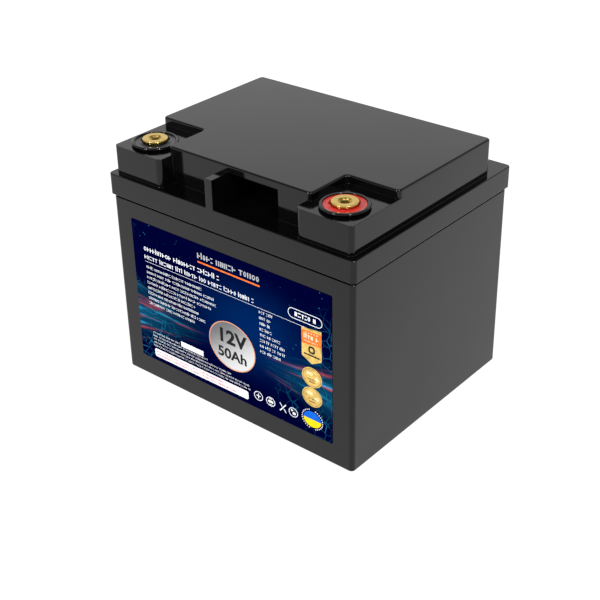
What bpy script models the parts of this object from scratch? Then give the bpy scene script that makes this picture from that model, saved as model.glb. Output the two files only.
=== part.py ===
"""Sealed deep cycle battery, 12 V, four lithium iron phosphate cells in a moulded case.

Metres, +Z up. The origin is at the centre of the base. +X runs to the right along the
label face, which looks towards -Y, and the two screw terminals stand at the front corners.
"""
import math

import bmesh
import bpy
from mathutils import Matrix, Vector
from mathutils.geometry import interpolate_bezier

MM = 0.001
GAP = 0.3                      # clearance between pieces that touch, mm

# Outer size of the case, mm
LENGTH = 197.0
WIDTH = 165.0
HEIGHT = 170.0

# Container
BODY_STEP = 1.4                # how far the lid's skirt stands proud of the container
WALL = 3.0
CORNER = 3.0                   # radius of the vertical corners
SEAM_Z = 131.5                 # lower edge of the lid's skirt
TONGUE_TOP = 142.0             # top of the rim that the skirt covers
TONGUE_IN = 1.4                # set-back of that rim from the wall face

# Lid
LEDGE_Z = 145.8                # top of the skirt
BLOCK_TOP = 164.5              # top of the two terminal blocks
UPPER_HALF_X = 94.4            # upper part of the lid
UPPER_BACK = 62.6
BLOCK_FRONT = -79.1
PLATEAU_FRONT = -68.0
NOTCH_X = 56.8                 # side wall of the terminal notches
NOTCH_Y = -35.3                # back wall of the terminal notches
BLOCK_INNER_X = 53.6
LIP_Z = 165.2                  # underside of the front lip
POCKET_X = (-7.0, 32.0)
POCKET_BACK = -42.0
STRUT_X = (-12.5, -7.1)
STRUT_FRONT = -82.2
LID_WALL = 2.8

# Terminals
TERMINAL_X = 75.5
TERMINAL_Y = -61.0
FLANGE_R = 8.1
FLANGE_TOP = 168.4
STEM_R = 5.2
STEM_BOTTOM = 151.0
THREAD_R = 3.1                 # M6 thread drawn as a plain hole
THREAD_BOTTOM = 155.0
BORE_R = 7.4                   # hole in the lid
COLLAR_R = (12.9, 15.0)
COLLAR_TOP = 166.9
SEAL_TOP = 166.3
SEAL_R = (8.5, 12.6)
O_RING_R = 6.3
O_RING_TUBE = 0.75

# Label
LABEL_HALF_X = 82.0
LABEL_Z = (15.0, 118.0)
LABEL_THICK = 0.4

# Cells
CELL_THICK = 29.0
CELL_WIDTH = 148.0
CELL_HEIGHT = 108.0
CELL_PITCH = 30.0
CELL_FLOOR = WALL + GAP
CELL_TOP = CELL_FLOOR + CELL_HEIGHT
POST_Y = 48.0
POST_R = 7.0
POST_TOP = CELL_TOP + GAP + 2.0
STUD_R = 3.0
STUD_TOP = POST_TOP + 8.4
LINK_BOTTOM = POST_TOP + GAP
LINK_TOP = LINK_BOTTOM + 2.0
SEPARATOR_THICK = 0.4
END_BOARD_THICK = 2.0
STRAP_Z = (30.0, 84.0)
STRAP_HEIGHT = 12.0

# Wiring
LEAD_R = 3.0
SENSE_R = 0.9
LUG_THICK = 1.5
LUG_LENGTH = 19.0              # from the centre of its eye to the end of its barrel
BARREL_R = LEAD_R + 0.9

# Battery management board
BOARD_X = (-50.0, 32.0)
BOARD_Y = (-18.0, 34.0)
BOARD_Z = (128.0, 129.6)

COLOURS = {
    "black_abs": ((0.012, 0.012, 0.013), 0.35, 0.0),
    "label": ((0.004, 0.008, 0.06), 0.4, 0.0),
    "brass": ((0.83, 0.62, 0.27), 0.3, 1.0),
    "red_epoxy": ((0.6, 0.02, 0.01), 0.25, 0.0),
    "black_epoxy": ((0.01, 0.01, 0.011), 0.25, 0.0),
    "rubber": ((0.015, 0.015, 0.015), 0.6, 0.0),
    "copper": ((0.72, 0.35, 0.2), 0.35, 1.0),
    "steel": ((0.6, 0.6, 0.6), 0.35, 1.0),
    "aluminium": ((0.75, 0.75, 0.77), 0.35, 1.0),
    "cell_wrap": ((0.02, 0.09, 0.32), 0.4, 0.0),
    "fibre_board": ((0.5, 0.52, 0.35), 0.6, 0.0),
    "foam": ((0.06, 0.06, 0.065), 0.95, 0.0),
    "board": ((0.01, 0.12, 0.05), 0.45, 0.0),
    "strap": ((0.5, 0.5, 0.48), 0.4, 0.0),
    "red_wire": ((0.55, 0.02, 0.02), 0.45, 0.0),
    "black_wire": ((0.015, 0.015, 0.015), 0.45, 0.0),
    "white_plastic": ((0.8, 0.8, 0.77), 0.4, 0.0),
}


def material(name, finish):
    """A material of its own for one sub-part."""
    colour, roughness, metallic = COLOURS[finish]
    made = bpy.data.materials.new(name + "_" + finish)
    made.use_nodes = True
    shader = made.node_tree.nodes["Principled BSDF"]
    shader.inputs["Base Color"].default_value = (*colour, 1.0)
    shader.inputs["Roughness"].default_value = roughness
    shader.inputs["Metallic"].default_value = metallic
    return made


def finish_object(name, mesh_maker, finish, parent, place=(0, 0, 0), turn=0.0):
    """Turn a bmesh drawn in millimetres into a named object placed in metres."""
    bmesh.ops.scale(mesh_maker, vec=(MM, MM, MM), verts=mesh_maker.verts)
    bmesh.ops.recalc_face_normals(mesh_maker, faces=mesh_maker.faces)
    mesh = bpy.data.meshes.new(name)
    mesh_maker.to_mesh(mesh)
    mesh_maker.free()
    mesh.shade_smooth()
    mesh.set_sharp_from_angle(angle=math.radians(30))
    made = bpy.data.objects.new(name, mesh)
    made.data.materials.append(material(name, finish))
    bpy.context.collection.objects.link(made)
    made.location = Vector(place) * MM
    made.rotation_euler = (0, 0, turn)
    made.parent = parent
    return made


def empty(name, parent=None):
    """A frame that carries a group of sub-parts."""
    made = bpy.data.objects.new(name, None)
    made.parent = parent
    bpy.context.collection.objects.link(made)
    return made


def block(x, y, z, corner=0.0, edge=0.0, steps=3):
    """A box between pairs of limits, with rounded upright edges and an eased top edge."""
    shape = bmesh.new()
    bmesh.ops.create_cube(shape, size=1.0)
    size = (x[1] - x[0], y[1] - y[0], z[1] - z[0])
    centre = ((x[0] + x[1]) / 2, (y[0] + y[1]) / 2, (z[0] + z[1]) / 2)
    bmesh.ops.scale(shape, vec=size, verts=shape.verts)
    bmesh.ops.translate(shape, vec=centre, verts=shape.verts)
    if corner:
        upright = [e for e in shape.edges if abs((e.verts[0].co - e.verts[1].co).z) > size[2] / 2]
        bmesh.ops.bevel(shape, geom=upright, offset=corner, offset_type="OFFSET", segments=steps,
                        profile=0.5, affect="EDGES", clamp_overlap=True, material=-1)
    if edge:
        rim = [e for e in shape.edges if all(abs(v.co.z - z[1]) < 1e-4 for v in e.verts)]
        bmesh.ops.bevel(shape, geom=rim, offset=edge, offset_type="OFFSET", segments=1,
                        profile=0.5, affect="EDGES", clamp_overlap=True, material=-1)
    return shape


def turned(profile, sides=24):
    """A closed profile of (radius, height) points spun once about the Z axis."""
    shape = bmesh.new()
    points = [shape.verts.new((radius, 0, height)) for radius, height in profile]
    edges = [shape.edges.new((a, b)) for a, b in zip(points, points[1:])]
    if profile[0][0] > 0:
        edges.append(shape.edges.new((points[-1], points[0])))
    bmesh.ops.spin(shape, geom=points + edges, cent=(0, 0, 0), axis=(0, 0, 1),
                   angle=2 * math.pi, steps=sides, use_merge=True)
    bmesh.ops.remove_doubles(shape, verts=shape.verts, dist=1e-4)
    return shape


def ring_with_hex(outer, inner, z, sides=12):
    """A hexagonal nut with a round hole."""
    shape = bmesh.new()
    rings = []
    for height in z:
        outside = bmesh.ops.create_circle(shape, segments=sides, radius=inner,
                                          matrix=Matrix.Translation((0, 0, height)))["verts"]
        hexagon = bmesh.ops.create_circle(shape, segments=6, radius=outer / math.cos(math.pi / 6),
                                          matrix=Matrix.Translation((0, 0, height)))["verts"]
        rings.append((outside, hexagon))
    loops = [[e for e in shape.edges if all(v in set(ring) for v in e.verts)]
             for pair in rings for ring in pair]
    low_in, low_out, high_in, high_out = loops
    for pair in ((low_in, low_out), (high_in, high_out), (low_in, high_in), (low_out, high_out)):
        bmesh.ops.bridge_loops(shape, edges=pair[0] + pair[1])
    return shape


def cutter(name, shape, parent):
    """A shape that only cuts another, or is only joined to it."""
    made = finish_object(name, shape, "white_plastic", parent)
    made.hide_render = True
    made.display_type = "WIRE"
    return made


def boolean(target, tool, operation):
    step = target.modifiers.new(operation.lower() + "_" + tool.name, "BOOLEAN")
    step.object = tool
    step.operation = operation
    step.solver = "EXACT"


def tube(name, points, radius, finish, parent, detail=2, samples=5):
    """A round lead through hand-set points, on one smooth curve."""
    points = [Vector(p) for p in points]
    smooth = []
    for i in range(len(points) - 1):
        before = points[max(i - 1, 0)]
        after = points[min(i + 2, len(points) - 1)]
        start, end = points[i], points[i + 1]
        handle_a = start + (end - before) / 6
        handle_b = end - (after - start) / 6
        smooth += interpolate_bezier(start, handle_a, handle_b, end, samples + 1)[:-1]
    smooth.append(points[-1])
    curve = bpy.data.curves.new(name, "CURVE")
    curve.dimensions = "3D"
    curve.bevel_depth = radius * MM
    curve.bevel_resolution = detail
    curve.use_fill_caps = True
    spline = curve.splines.new("POLY")
    spline.points.add(len(smooth) - 1)
    for slot, point in zip(spline.points, smooth):
        slot.co = (*(point * MM), 1.0)
    spline.use_smooth = True
    made = bpy.data.objects.new(name, curve)
    made.data.materials.append(material(name, finish))
    bpy.context.collection.objects.link(made)
    made.parent = parent
    return made


def rounded_ring(shape, half_x, half_y, radius, z, steps=4):
    """Vertices round a rectangle with rounded corners at one height."""
    points = []
    for quarter, (sx, sy) in enumerate(((1, 1), (-1, 1), (-1, -1), (1, -1))):
        for step in range(steps + 1):
            angle = math.pi / 2 * (quarter + step / steps)
            points.append(shape.verts.new((sx * (half_x - radius) + radius * math.cos(angle),
                                           sy * (half_y - radius) + radius * math.sin(angle), z)))
    return points


def skin(shape, rings, closed=False):
    """Join rings of equal count with quads, and cap the ends or close the run on itself."""
    pairs = list(zip(rings, rings[1:]))
    if closed:
        pairs.append((rings[-1], rings[0]))
    else:
        shape.faces.new(rings[0])
        shape.faces.new(rings[-1])
    count = len(rings[0])
    for low, high in pairs:
        for i in range(count):
            j = (i + 1) % count
            shape.faces.new((low[i], low[j], high[j], high[i]))
    return shape


def lofted(rings):
    """Rounded rectangles (half_x, half_y, radius, z) joined in order and capped at both ends."""
    shape = bmesh.new()
    return skin(shape, [rounded_ring(shape, *ring) for ring in rings])


def make_container(parent):
    """The container is an open box whose rim steps in under the lid's skirt."""
    half_x = LENGTH / 2 - BODY_STEP
    half_y = WIDTH / 2 - BODY_STEP
    inner = (half_x - WALL, half_y - WALL)
    shoulder = SEAM_Z - GAP
    tongue = (half_x - TONGUE_IN, half_y - TONGUE_IN)
    outside = lofted([
        (half_x - 1.0, half_y - 1.0, CORNER - 1.0, 0.0),
        (half_x, half_y, CORNER, 1.0),
        (half_x, half_y, CORNER, shoulder),
        (*tongue, CORNER - TONGUE_IN, shoulder),
        (*tongue, CORNER - TONGUE_IN, TONGUE_TOP),
    ])
    container = finish_object("container", outside, "black_abs", parent)
    inside = lofted([(*inner, 1.0, WALL), (*inner, 1.0, TONGUE_TOP + 5.0)])
    boolean(container, cutter("container_hollow_form", inside, parent), "DIFFERENCE")
    return container


def make_lid(parent):
    """The lid is a hollow moulding: skirt, raised plateau, terminal blocks and front pocket."""
    outer = (LENGTH / 2, WIDTH / 2)
    far = 200.0
    lid = finish_object("lid", lofted([(*outer, CORNER, SEAM_Z), (*outer, CORNER, LEDGE_Z - 0.4),
                                       (outer[0] - 0.4, outer[1] - 0.4, CORNER - 0.4, LEDGE_Z)]),
                        "black_abs", parent)
    upper = block((-UPPER_HALF_X, UPPER_HALF_X), (BLOCK_FRONT, UPPER_BACK),
                  (LEDGE_Z - 2.0, HEIGHT), corner=3.0, edge=0.5)
    boolean(lid, cutter("lid_upper_form", upper, parent), "UNION")

    recess = block((-BLOCK_INNER_X, BLOCK_INNER_X), (-far, PLATEAU_FRONT), (LEDGE_Z, far))
    boolean(lid, cutter("lid_front_recess_form", recess, parent), "DIFFERENCE")
    step = block((-far, far), (-far, PLATEAU_FRONT), (BLOCK_TOP, far))
    boolean(lid, cutter("lid_front_step_form", step, parent), "DIFFERENCE")
    for side in (-1, 1):
        reach = sorted((side * NOTCH_X, side * far))
        notch = block(reach, (-far, NOTCH_Y), (BLOCK_TOP, far), corner=2.0)
        boolean(lid, cutter(f"lid_notch_form_{'left' if side < 0 else 'right'}", notch, parent),
                "DIFFERENCE")
    pocket = block(POCKET_X, (PLATEAU_FRONT - 5.0, POCKET_BACK), (LEDGE_Z, LIP_Z))
    boolean(lid, cutter("lid_pocket_form", pocket, parent), "DIFFERENCE")
    strut = block(STRUT_X, (STRUT_FRONT, PLATEAU_FRONT + 1.0), (LEDGE_Z - 1.0, LIP_Z))
    boolean(lid, cutter("lid_strut_form", strut, parent), "UNION")

    # hollow under the lid: room for the container's rim, then the space above the cells
    rim = (LENGTH / 2 - BODY_STEP - TONGUE_IN + GAP, WIDTH / 2 - BODY_STEP - TONGUE_IN + GAP)
    rim_top = TONGUE_TOP + GAP
    roof = HEIGHT - LID_WALL
    side_in = UPPER_HALF_X - LID_WALL
    behind = POCKET_BACK + LID_WALL
    groove = lofted([(*rim, CORNER - 1.1, SEAM_Z - 5.0), (*rim, CORNER - 1.1, rim_top)])
    hollows = {
        "groove": groove,
        "main": block((-side_in, side_in), (NOTCH_Y + LID_WALL, UPPER_BACK - LID_WALL),
                      (rim_top - 1.0, roof)),
        "left_block": block((-side_in, -BLOCK_INNER_X - LID_WALL),
                            (BLOCK_FRONT + LID_WALL, NOTCH_Y + LID_WALL + 1.0),
                            (rim_top - 1.0, BLOCK_TOP - LID_WALL)),
        "right_block": block((BLOCK_INNER_X + LID_WALL, side_in),
                             (BLOCK_FRONT + LID_WALL, NOTCH_Y + LID_WALL + 1.0),
                             (rim_top - 1.0, BLOCK_TOP - LID_WALL)),
        "front_left": block((-BLOCK_INNER_X, POCKET_X[0] - LID_WALL),
                            (PLATEAU_FRONT + LID_WALL, NOTCH_Y + LID_WALL + 1.0),
                            (rim_top - 1.0, roof)),
        "front_right": block((POCKET_X[1] + LID_WALL, BLOCK_INNER_X),
                             (PLATEAU_FRONT + LID_WALL, NOTCH_Y + LID_WALL + 1.0),
                             (rim_top - 1.0, roof)),
        "behind_pocket": block((POCKET_X[0] - LID_WALL - 1.0, POCKET_X[1] + LID_WALL + 1.0),
                               (behind, NOTCH_Y + LID_WALL + 1.0), (rim_top - 1.0, roof)),
    }
    for name, shape in hollows.items():
        boolean(lid, cutter(f"lid_hollow_{name}", shape, parent), "DIFFERENCE")
    for side in (-1, 1):
        bore = turned([(0, BLOCK_TOP - 6.0), (BORE_R, BLOCK_TOP - 6.0), (BORE_R, BLOCK_TOP + 3.0),
                       (0, BLOCK_TOP + 3.0)])
        bmesh.ops.translate(bore, vec=(side * TERMINAL_X, TERMINAL_Y, 0), verts=bore.verts)
        boolean(lid, cutter(f"lid_bore_form_{'left' if side < 0 else 'right'}", bore, parent),
                "DIFFERENCE")
    return lid


def make_label(parent):
    front = -WIDTH / 2 + BODY_STEP
    shape = block((-LABEL_HALF_X, LABEL_HALF_X), (front - GAP - LABEL_THICK, front - GAP), LABEL_Z)
    return finish_object("front_label", shape, "label", parent)


def lug(name, finish, hole, ring, z, parent, place, barrel_z):
    """A crimp lug: a ring, a flat tongue and a round barrel that points backwards."""
    barrel = (13.0, LUG_LENGTH)
    height = z + LUG_THICK
    made = finish_object(name, turned([(0, z), (ring, z), (ring, height), (0, height)]),
                         finish, parent, place)
    tongue = block((-3.4, 3.4), (0, barrel[0] + 0.5), (z, height))
    sleeve = turned([(0, barrel[0]), (BARREL_R, barrel[0]), (BARREL_R, barrel[1]), (0, barrel[1])],
                    sides=16)
    bmesh.ops.rotate(sleeve, cent=(0, 0, 0), matrix=Matrix.Rotation(-math.pi / 2, 3, "X"),
                     verts=sleeve.verts)
    bmesh.ops.translate(sleeve, vec=(0, 0, barrel_z), verts=sleeve.verts)
    eye = turned([(0, z - 1), (hole, z - 1), (hole, height + 1), (0, height + 1)])
    forms = (("tongue", tongue, "UNION"), ("sleeve", sleeve, "UNION"), ("eye", eye, "DIFFERENCE"))
    for form, shape, operation in forms:
        tool = cutter(f"{name}_{form}_form", shape, parent)
        tool.location = made.location
        boolean(made, tool, operation)
    return made


def make_terminal(side, parent):
    """One screw terminal with its collar, potting, seal, lug and nut."""
    word = "positive" if side > 0 else "negative"
    place = (side * TERMINAL_X, TERMINAL_Y, 0)
    insert = [(0, STEM_BOTTOM), (STEM_R, STEM_BOTTOM), (STEM_R, BLOCK_TOP + GAP),
              (FLANGE_R, BLOCK_TOP + GAP), (FLANGE_R, FLANGE_TOP - 0.3),
              (FLANGE_R - 0.3, FLANGE_TOP), (THREAD_R + 0.7, FLANGE_TOP),
              (THREAD_R, FLANGE_TOP - 0.7), (THREAD_R, THREAD_BOTTOM), (0, THREAD_BOTTOM)]
    finish_object(f"{word}_terminal_insert", turned(insert), "brass", parent, place)

    base = BLOCK_TOP + GAP
    collar = [(COLLAR_R[0], base), (COLLAR_R[1], base), (COLLAR_R[1], COLLAR_TOP - 0.6),
              (COLLAR_R[1] - 0.6, COLLAR_TOP), (COLLAR_R[0], COLLAR_TOP)]
    finish_object(f"{word}_terminal_collar", turned(collar, sides=32), "black_abs", parent, place)

    seal = [(SEAL_R[0], base), (SEAL_R[1], base), (SEAL_R[1], SEAL_TOP),
            (SEAL_R[0], SEAL_TOP)]
    finish_object(f"{word}_terminal_seal", turned(seal, sides=32),
                  "red_epoxy" if side > 0 else "black_epoxy", parent, place)

    section = 8
    middle = BLOCK_TOP - 1.4
    ring = [(O_RING_R + O_RING_TUBE * math.cos(2 * math.pi * i / section),
             middle + O_RING_TUBE * math.sin(2 * math.pi * i / section)) for i in range(section)]
    finish_object(f"{word}_terminal_o_ring", turned(ring, sides=20), "rubber", parent, place)

    under = BLOCK_TOP - LID_WALL - GAP
    lug(f"{word}_terminal_lug", "copper", STEM_R + GAP, 9.0, under - LUG_THICK, parent, place,
        under - BARREL_R - 0.1)
    nut_top = under - LUG_THICK - GAP
    finish_object(f"{word}_terminal_nut", ring_with_hex(8.0, STEM_R + GAP, (nut_top - 4.0, nut_top)),
                  "steel", parent, place)


def make_cells(parent):
    """Four cells on edge, side by side along X, with their posts, nuts and links."""
    for index in range(4):
        centre_x = (index - 1.5) * CELL_PITCH
        cell = block((-CELL_THICK / 2, CELL_THICK / 2), (-CELL_WIDTH / 2, CELL_WIDTH / 2),
                     (CELL_FLOOR, CELL_TOP), corner=2.0)
        finish_object(f"cell_{index + 1}", cell, "cell_wrap", parent, (centre_x, 0, 0))
        positive_y = POST_Y if index % 2 == 0 else -POST_Y
        for word, post_y in (("positive", positive_y), ("negative", -positive_y)):
            post = [(0, CELL_TOP + GAP), (POST_R, CELL_TOP + GAP), (POST_R, POST_TOP),
                    (STUD_R, POST_TOP), (STUD_R, STUD_TOP), (0, STUD_TOP)]
            finish_object(f"cell_{index + 1}_{word}_post", turned(post, sides=12), "aluminium",
                          parent, (centre_x, post_y, 0))
            nut = ring_with_hex(5.0, STUD_R + GAP, (LINK_TOP + GAP, LINK_TOP + GAP + 4.0))
            finish_object(f"cell_{index + 1}_{word}_nut", nut, "steel", parent,
                          (centre_x, post_y, 0))


def make_links(parent):
    """Copper links that put the four cells in series."""
    for index in range(3):
        centre = ((index - 1) * CELL_PITCH, POST_Y if index % 2 == 0 else -POST_Y, 0)
        half = CELL_PITCH / 2
        plate = block((-half - 7.5, half + 7.5), (-8.0, 8.0), (LINK_BOTTOM, LINK_TOP), corner=3.0)
        link = finish_object(f"series_link_{index + 1}", plate, "copper", parent, centre)
        for side in (-1, 1):
            hole = turned([(0, LINK_BOTTOM - 1), (STUD_R + GAP, LINK_BOTTOM - 1),
                           (STUD_R + GAP, LINK_TOP + 1), (0, LINK_TOP + 1)], sides=12)
            bmesh.ops.translate(hole, vec=(side * half, 0, 0), verts=hole.verts)
            tool = cutter(f"series_link_{index + 1}_hole_form_{side + 1}", hole, parent)
            tool.location = link.location
            boolean(link, tool, "DIFFERENCE")


def make_stack_supports(parent):
    """Separators between the cells, boards at both ends, straps round them and foam blocks."""
    for index in range(3):
        centre = (index - 1) * CELL_PITCH
        sheet = block((-SEPARATOR_THICK / 2, SEPARATOR_THICK / 2), (-72.0, 72.0),
                      (CELL_FLOOR, CELL_TOP - 3.0))
        finish_object(f"cell_separator_{index + 1}", sheet, "fibre_board", parent, (centre, 0, 0))
    stack = 1.5 * CELL_PITCH + CELL_THICK / 2
    board = (stack + GAP, stack + GAP + END_BOARD_THICK)
    foam = (board[1] + 2 * GAP + 0.8, LENGTH / 2 - BODY_STEP - WALL - GAP)
    for side, word in ((-1, "left"), (1, "right")):
        plate = block(sorted((side * board[0], side * board[1])), (-73.0, 73.0),
                      (CELL_FLOOR, CELL_TOP - 2.0))
        finish_object(f"{word}_end_board", plate, "fibre_board", parent)
        pad = block(sorted((side * foam[0], side * foam[1])), (-77.0, 77.0),
                    (CELL_FLOOR, CELL_TOP), corner=1.5, steps=1)
        finish_object(f"{word}_foam_block", pad, "foam", parent)
    for index, low in enumerate(STRAP_Z):
        inner = (board[1] + GAP, CELL_WIDTH / 2 + GAP)
        outer = (inner[0] + 0.8, inner[1] + 0.8)
        high = low + STRAP_HEIGHT
        shape = bmesh.new()
        rings = [rounded_ring(shape, *inner, 0.6, low, 2), rounded_ring(shape, *outer, 1.4, low, 2),
                 rounded_ring(shape, *outer, 1.4, high, 2), rounded_ring(shape, *inner, 0.6, high, 2)]
        finish_object(f"cell_strap_{index + 1}", skin(shape, rings, closed=True), "strap", parent)


def make_electronics(parent):
    """The protection board with its heat sink and the balance connector."""
    board = block(BOARD_X, BOARD_Y, BOARD_Z)
    finish_object("protection_board", board, "board", parent)
    plate_bottom = BOARD_Z[1] + GAP
    sink = finish_object("protection_heat_sink",
                         block((-30.0, 20.0), (BOARD_Y[0] + 4, BOARD_Y[1] - 14),
                               (plate_bottom, plate_bottom + 7.0)), "aluminium", parent)
    fins = 5
    for index in range(fins):
        low = BOARD_Y[0] + 8.0 + index * 6.0
        channel = block((-35.0, 25.0), (low, low + 3.0), (plate_bottom + 2.5, plate_bottom + 12.0))
        boolean(sink, cutter(f"heat_sink_channel_form_{index}", channel, parent), "DIFFERENCE")
    plug = block((2.0, 22.0), (BOARD_Y[1] - 10.0, BOARD_Y[1] - 4.0),
                 (plate_bottom, plate_bottom + 5.5), edge=0.8)
    finish_object("balance_connector", plug, "white_plastic", parent)


def make_leads(parent):
    """Power leads from the lugs, and thin sense leads from the balance connector."""
    terminal_z = BLOCK_TOP - LID_WALL - GAP - BARREL_R - 0.1
    cell_z = LINK_BOTTOM + BARREL_R + 0.1
    barrel_end = LUG_LENGTH + GAP
    board_top = BOARD_Z[1] + GAP
    left, right = -1.5 * CELL_PITCH, 1.5 * CELL_PITCH
    for x, word in ((left, "negative"), (right, "positive")):
        lug(f"pack_{word}_lug", "copper", STUD_R + GAP, 7.0, LINK_BOTTOM, parent, (x, -POST_Y, 0),
            cell_z)
    start_y = TERMINAL_Y + barrel_end
    cell_y = -POST_Y + barrel_end
    tube("positive_lead", [
        (TERMINAL_X, start_y, terminal_z), (TERMINAL_X, start_y + 9, terminal_z - 0.5),
        (TERMINAL_X - 1, start_y + 19, terminal_z - 5), (TERMINAL_X - 5, start_y + 26, terminal_z - 14),
        (TERMINAL_X - 12, start_y + 30, terminal_z - 25), (right + 11, cell_y + 20, cell_z + 10),
        (right + 3, cell_y + 15, cell_z + 2.5), (right, cell_y + 8, cell_z + 0.3),
        (right, cell_y, cell_z)], LEAD_R, "red_wire", parent)
    tube("negative_lead", [
        (-TERMINAL_X, start_y, terminal_z), (-TERMINAL_X, start_y + 9, terminal_z - 0.5),
        (-TERMINAL_X + 1, start_y + 20, terminal_z - 4), (-TERMINAL_X + 5, start_y + 32, terminal_z - 11),
        (-TERMINAL_X + 9, start_y + 44, terminal_z - 20), (-TERMINAL_X + 13, start_y + 54, board_top + 5),
        (-TERMINAL_X + 20, start_y + 60, board_top + LEAD_R + 0.3),
        (-TERMINAL_X + 29, start_y + 62, board_top + LEAD_R),
        (-TERMINAL_X + 38, start_y + 62, board_top + LEAD_R)], LEAD_R, "black_wire", parent)
    tube("pack_negative_lead", [
        (left, cell_y, cell_z), (left, cell_y + 6, cell_z + 0.3), (left - 3, cell_y + 14, cell_z + 1.5),
        (left - 11, cell_y + 21, cell_z + 5.0), (left - 17, cell_y + 28, cell_z + 11.0),
        (left - 14, cell_y + 34, board_top + LEAD_R - 0.5), (left - 5, cell_y + 36.5, board_top + LEAD_R),
        (left + 7, cell_y + 36.5, board_top + LEAD_R)], LEAD_R, "black_wire", parent)

    plug_y = BOARD_Y[1] - 4.0 + GAP
    plug_z = board_top + 2.6
    end_z = LINK_TOP + GAP
    ends = (((-CELL_PITCH, POST_Y - 3), 6.0), ((0.0, -POST_Y), 16.0), ((CELL_PITCH, POST_Y - 3), 11.0))
    for index, ((x, y), start_x) in enumerate(ends):
        start = Vector((start_x, plug_y, plug_z))
        if index == 1:
            route = [start, start + Vector((0.3, 3.5, 1.2)), (23, 37, 136), (34, 33, 134),
                     (40, 20, 126), (39, -4, 123.5), (26, -28, 124), (10, -40, 123.5),
                     (1.5, y + 1.5, 121), (x, y, end_z + 2.5), (x, y, end_z)]
        else:
            lean = Vector((x - start.x, y - start.y, 0))
            route = [start, start + Vector((0, 4, 0.4)), start + lean * 0.35 + Vector((0, 5, -1.5)),
                     start + lean * 0.8 + Vector((0, 3, -6.0)), (x, y, end_z + 4.0), (x, y, end_z)]
        tube(f"sense_lead_{index + 1}", route, SENSE_R, "red_wire" if index else "black_wire",
             parent, detail=1, samples=3)


def main():
    for old in list(bpy.data.objects):
        bpy.data.objects.remove(old, do_unlink=True)
    battery = empty("battery")
    case = empty("case", battery)
    terminals = empty("terminals", battery)
    pack = empty("cell_pack", battery)
    make_container(case)
    make_lid(case)
    make_label(case)
    for side in (-1, 1):
        make_terminal(side, terminals)
    make_cells(pack)
    make_links(pack)
    make_stack_supports(pack)
    make_electronics(pack)
    make_leads(pack)


main()
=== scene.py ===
"""Sealed deep cycle battery in a black moulded case, with a printed front label.

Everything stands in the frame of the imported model: metres, +Z up, the origin at the centre
of the base, the label on the side that looks towards -Y and the terminals at its two ends.
Pieces are drawn in millimetres and scaled when they are finished.
"""
import math
import random

import bmesh
import bpy
from bpy.props import FloatProperty, FloatVectorProperty, IntProperty, PointerProperty
from mathutils import Matrix, Vector


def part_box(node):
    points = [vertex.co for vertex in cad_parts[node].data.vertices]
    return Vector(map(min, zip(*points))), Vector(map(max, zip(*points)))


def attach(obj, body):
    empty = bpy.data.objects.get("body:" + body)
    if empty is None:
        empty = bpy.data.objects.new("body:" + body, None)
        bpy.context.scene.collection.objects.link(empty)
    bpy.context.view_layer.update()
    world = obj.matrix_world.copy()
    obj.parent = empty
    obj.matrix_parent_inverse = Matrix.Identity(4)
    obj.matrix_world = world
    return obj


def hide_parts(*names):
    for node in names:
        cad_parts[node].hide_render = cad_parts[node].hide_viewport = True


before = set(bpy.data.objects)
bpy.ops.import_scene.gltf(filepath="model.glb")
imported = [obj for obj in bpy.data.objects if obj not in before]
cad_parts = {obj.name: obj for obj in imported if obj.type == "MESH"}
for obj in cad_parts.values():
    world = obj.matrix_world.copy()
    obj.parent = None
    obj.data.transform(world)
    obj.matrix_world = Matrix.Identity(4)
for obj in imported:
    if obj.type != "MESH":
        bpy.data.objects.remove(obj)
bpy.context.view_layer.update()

bl_info = {
    "name": "Deep Cycle Battery",
    "version": (1, 0, 0),
    "blender": (4, 5, 0),
    "location": "View3D > Sidebar > Battery",
    "description": "Builds a sealed 12 volt battery with its label, terminals and cells",
    "category": "Add Mesh",
}

MM = 0.001                     # one millimetre in the frame's metres
PER_M = 1000.0                 # millimetres in a metre, for patterns drawn in millimetres
BODY = "root"
NEAR = 0.01                    # places closer than this count as one, mm
CREASE = math.radians(40.0)    # edges turning by more than this stay crisp


def node_box(node):
    """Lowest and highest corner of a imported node, in millimetres."""
    low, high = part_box(node)
    return Vector(low) / MM, Vector(high) / MM


LID_LOW, LID_HIGH = node_box("lid")
CASE_HIGH = node_box("container")[1]
LABEL_LOW, LABEL_HIGH = node_box("front_label")
SKIRT_X, SKIRT_Y = LID_HIGH.x, LID_HIGH.y
SEAM_Z = LID_LOW.z
TOP_Z = LID_HIGH.z
CASE_X, CASE_Y = CASE_HIGH.x, CASE_HIGH.y

# Lid levels and outlines, mm
LEDGE_Z = 145.8
BLOCK_TOP = 164.5
LIP_Z = 165.2
UPPER_X = 94.4
UPPER_BACK = 62.6
BLOCK_FRONT = -79.1
PLATEAU_FRONT = -68.0
NOTCH_X = 56.8
NOTCH_Y = -35.3
BLOCK_INNER_X = 53.6
BLOCK_INNER_RADIUS = 4.0
NOTCH_RADIUS = 2.2
POCKET_X = (-7.0, 32.0)
POCKET_BACK = -42.0
STRUT_X = (-12.5, -7.0)

# Lid inside, mm
LID_WALL = 2.8
RIM_X, RIM_Y = 96.0, 80.0
RIM_TOP = 142.3
BORE_R = 7.4
BORE_STEPS = 48
BRIDGE_LIFT = 0.2              # keeps the two open rims apart while they are joined

# Container, mm
CASE_WALL = 2.9
RIM_STEP = 1.4
BASE_THICKNESS = 3.0
FOOT_RADIUS = 1.1
GROOVE_HEIGHT = 1.8            # dark joint that shows under the skirt
GROOVE_RADIUS = 0.3
SKIRT_GAP = 0.3                # between the skirt and the top of the groove

# Terminals, mm
TERMINAL_X = 75.5
TERMINAL_Y = -61.0
THREAD_PITCH = 1.0


# ---------------------------------------------------------------- sizes and colours

RGB = {"size": 3, "min": 0.0, "max": 1.0}


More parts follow.
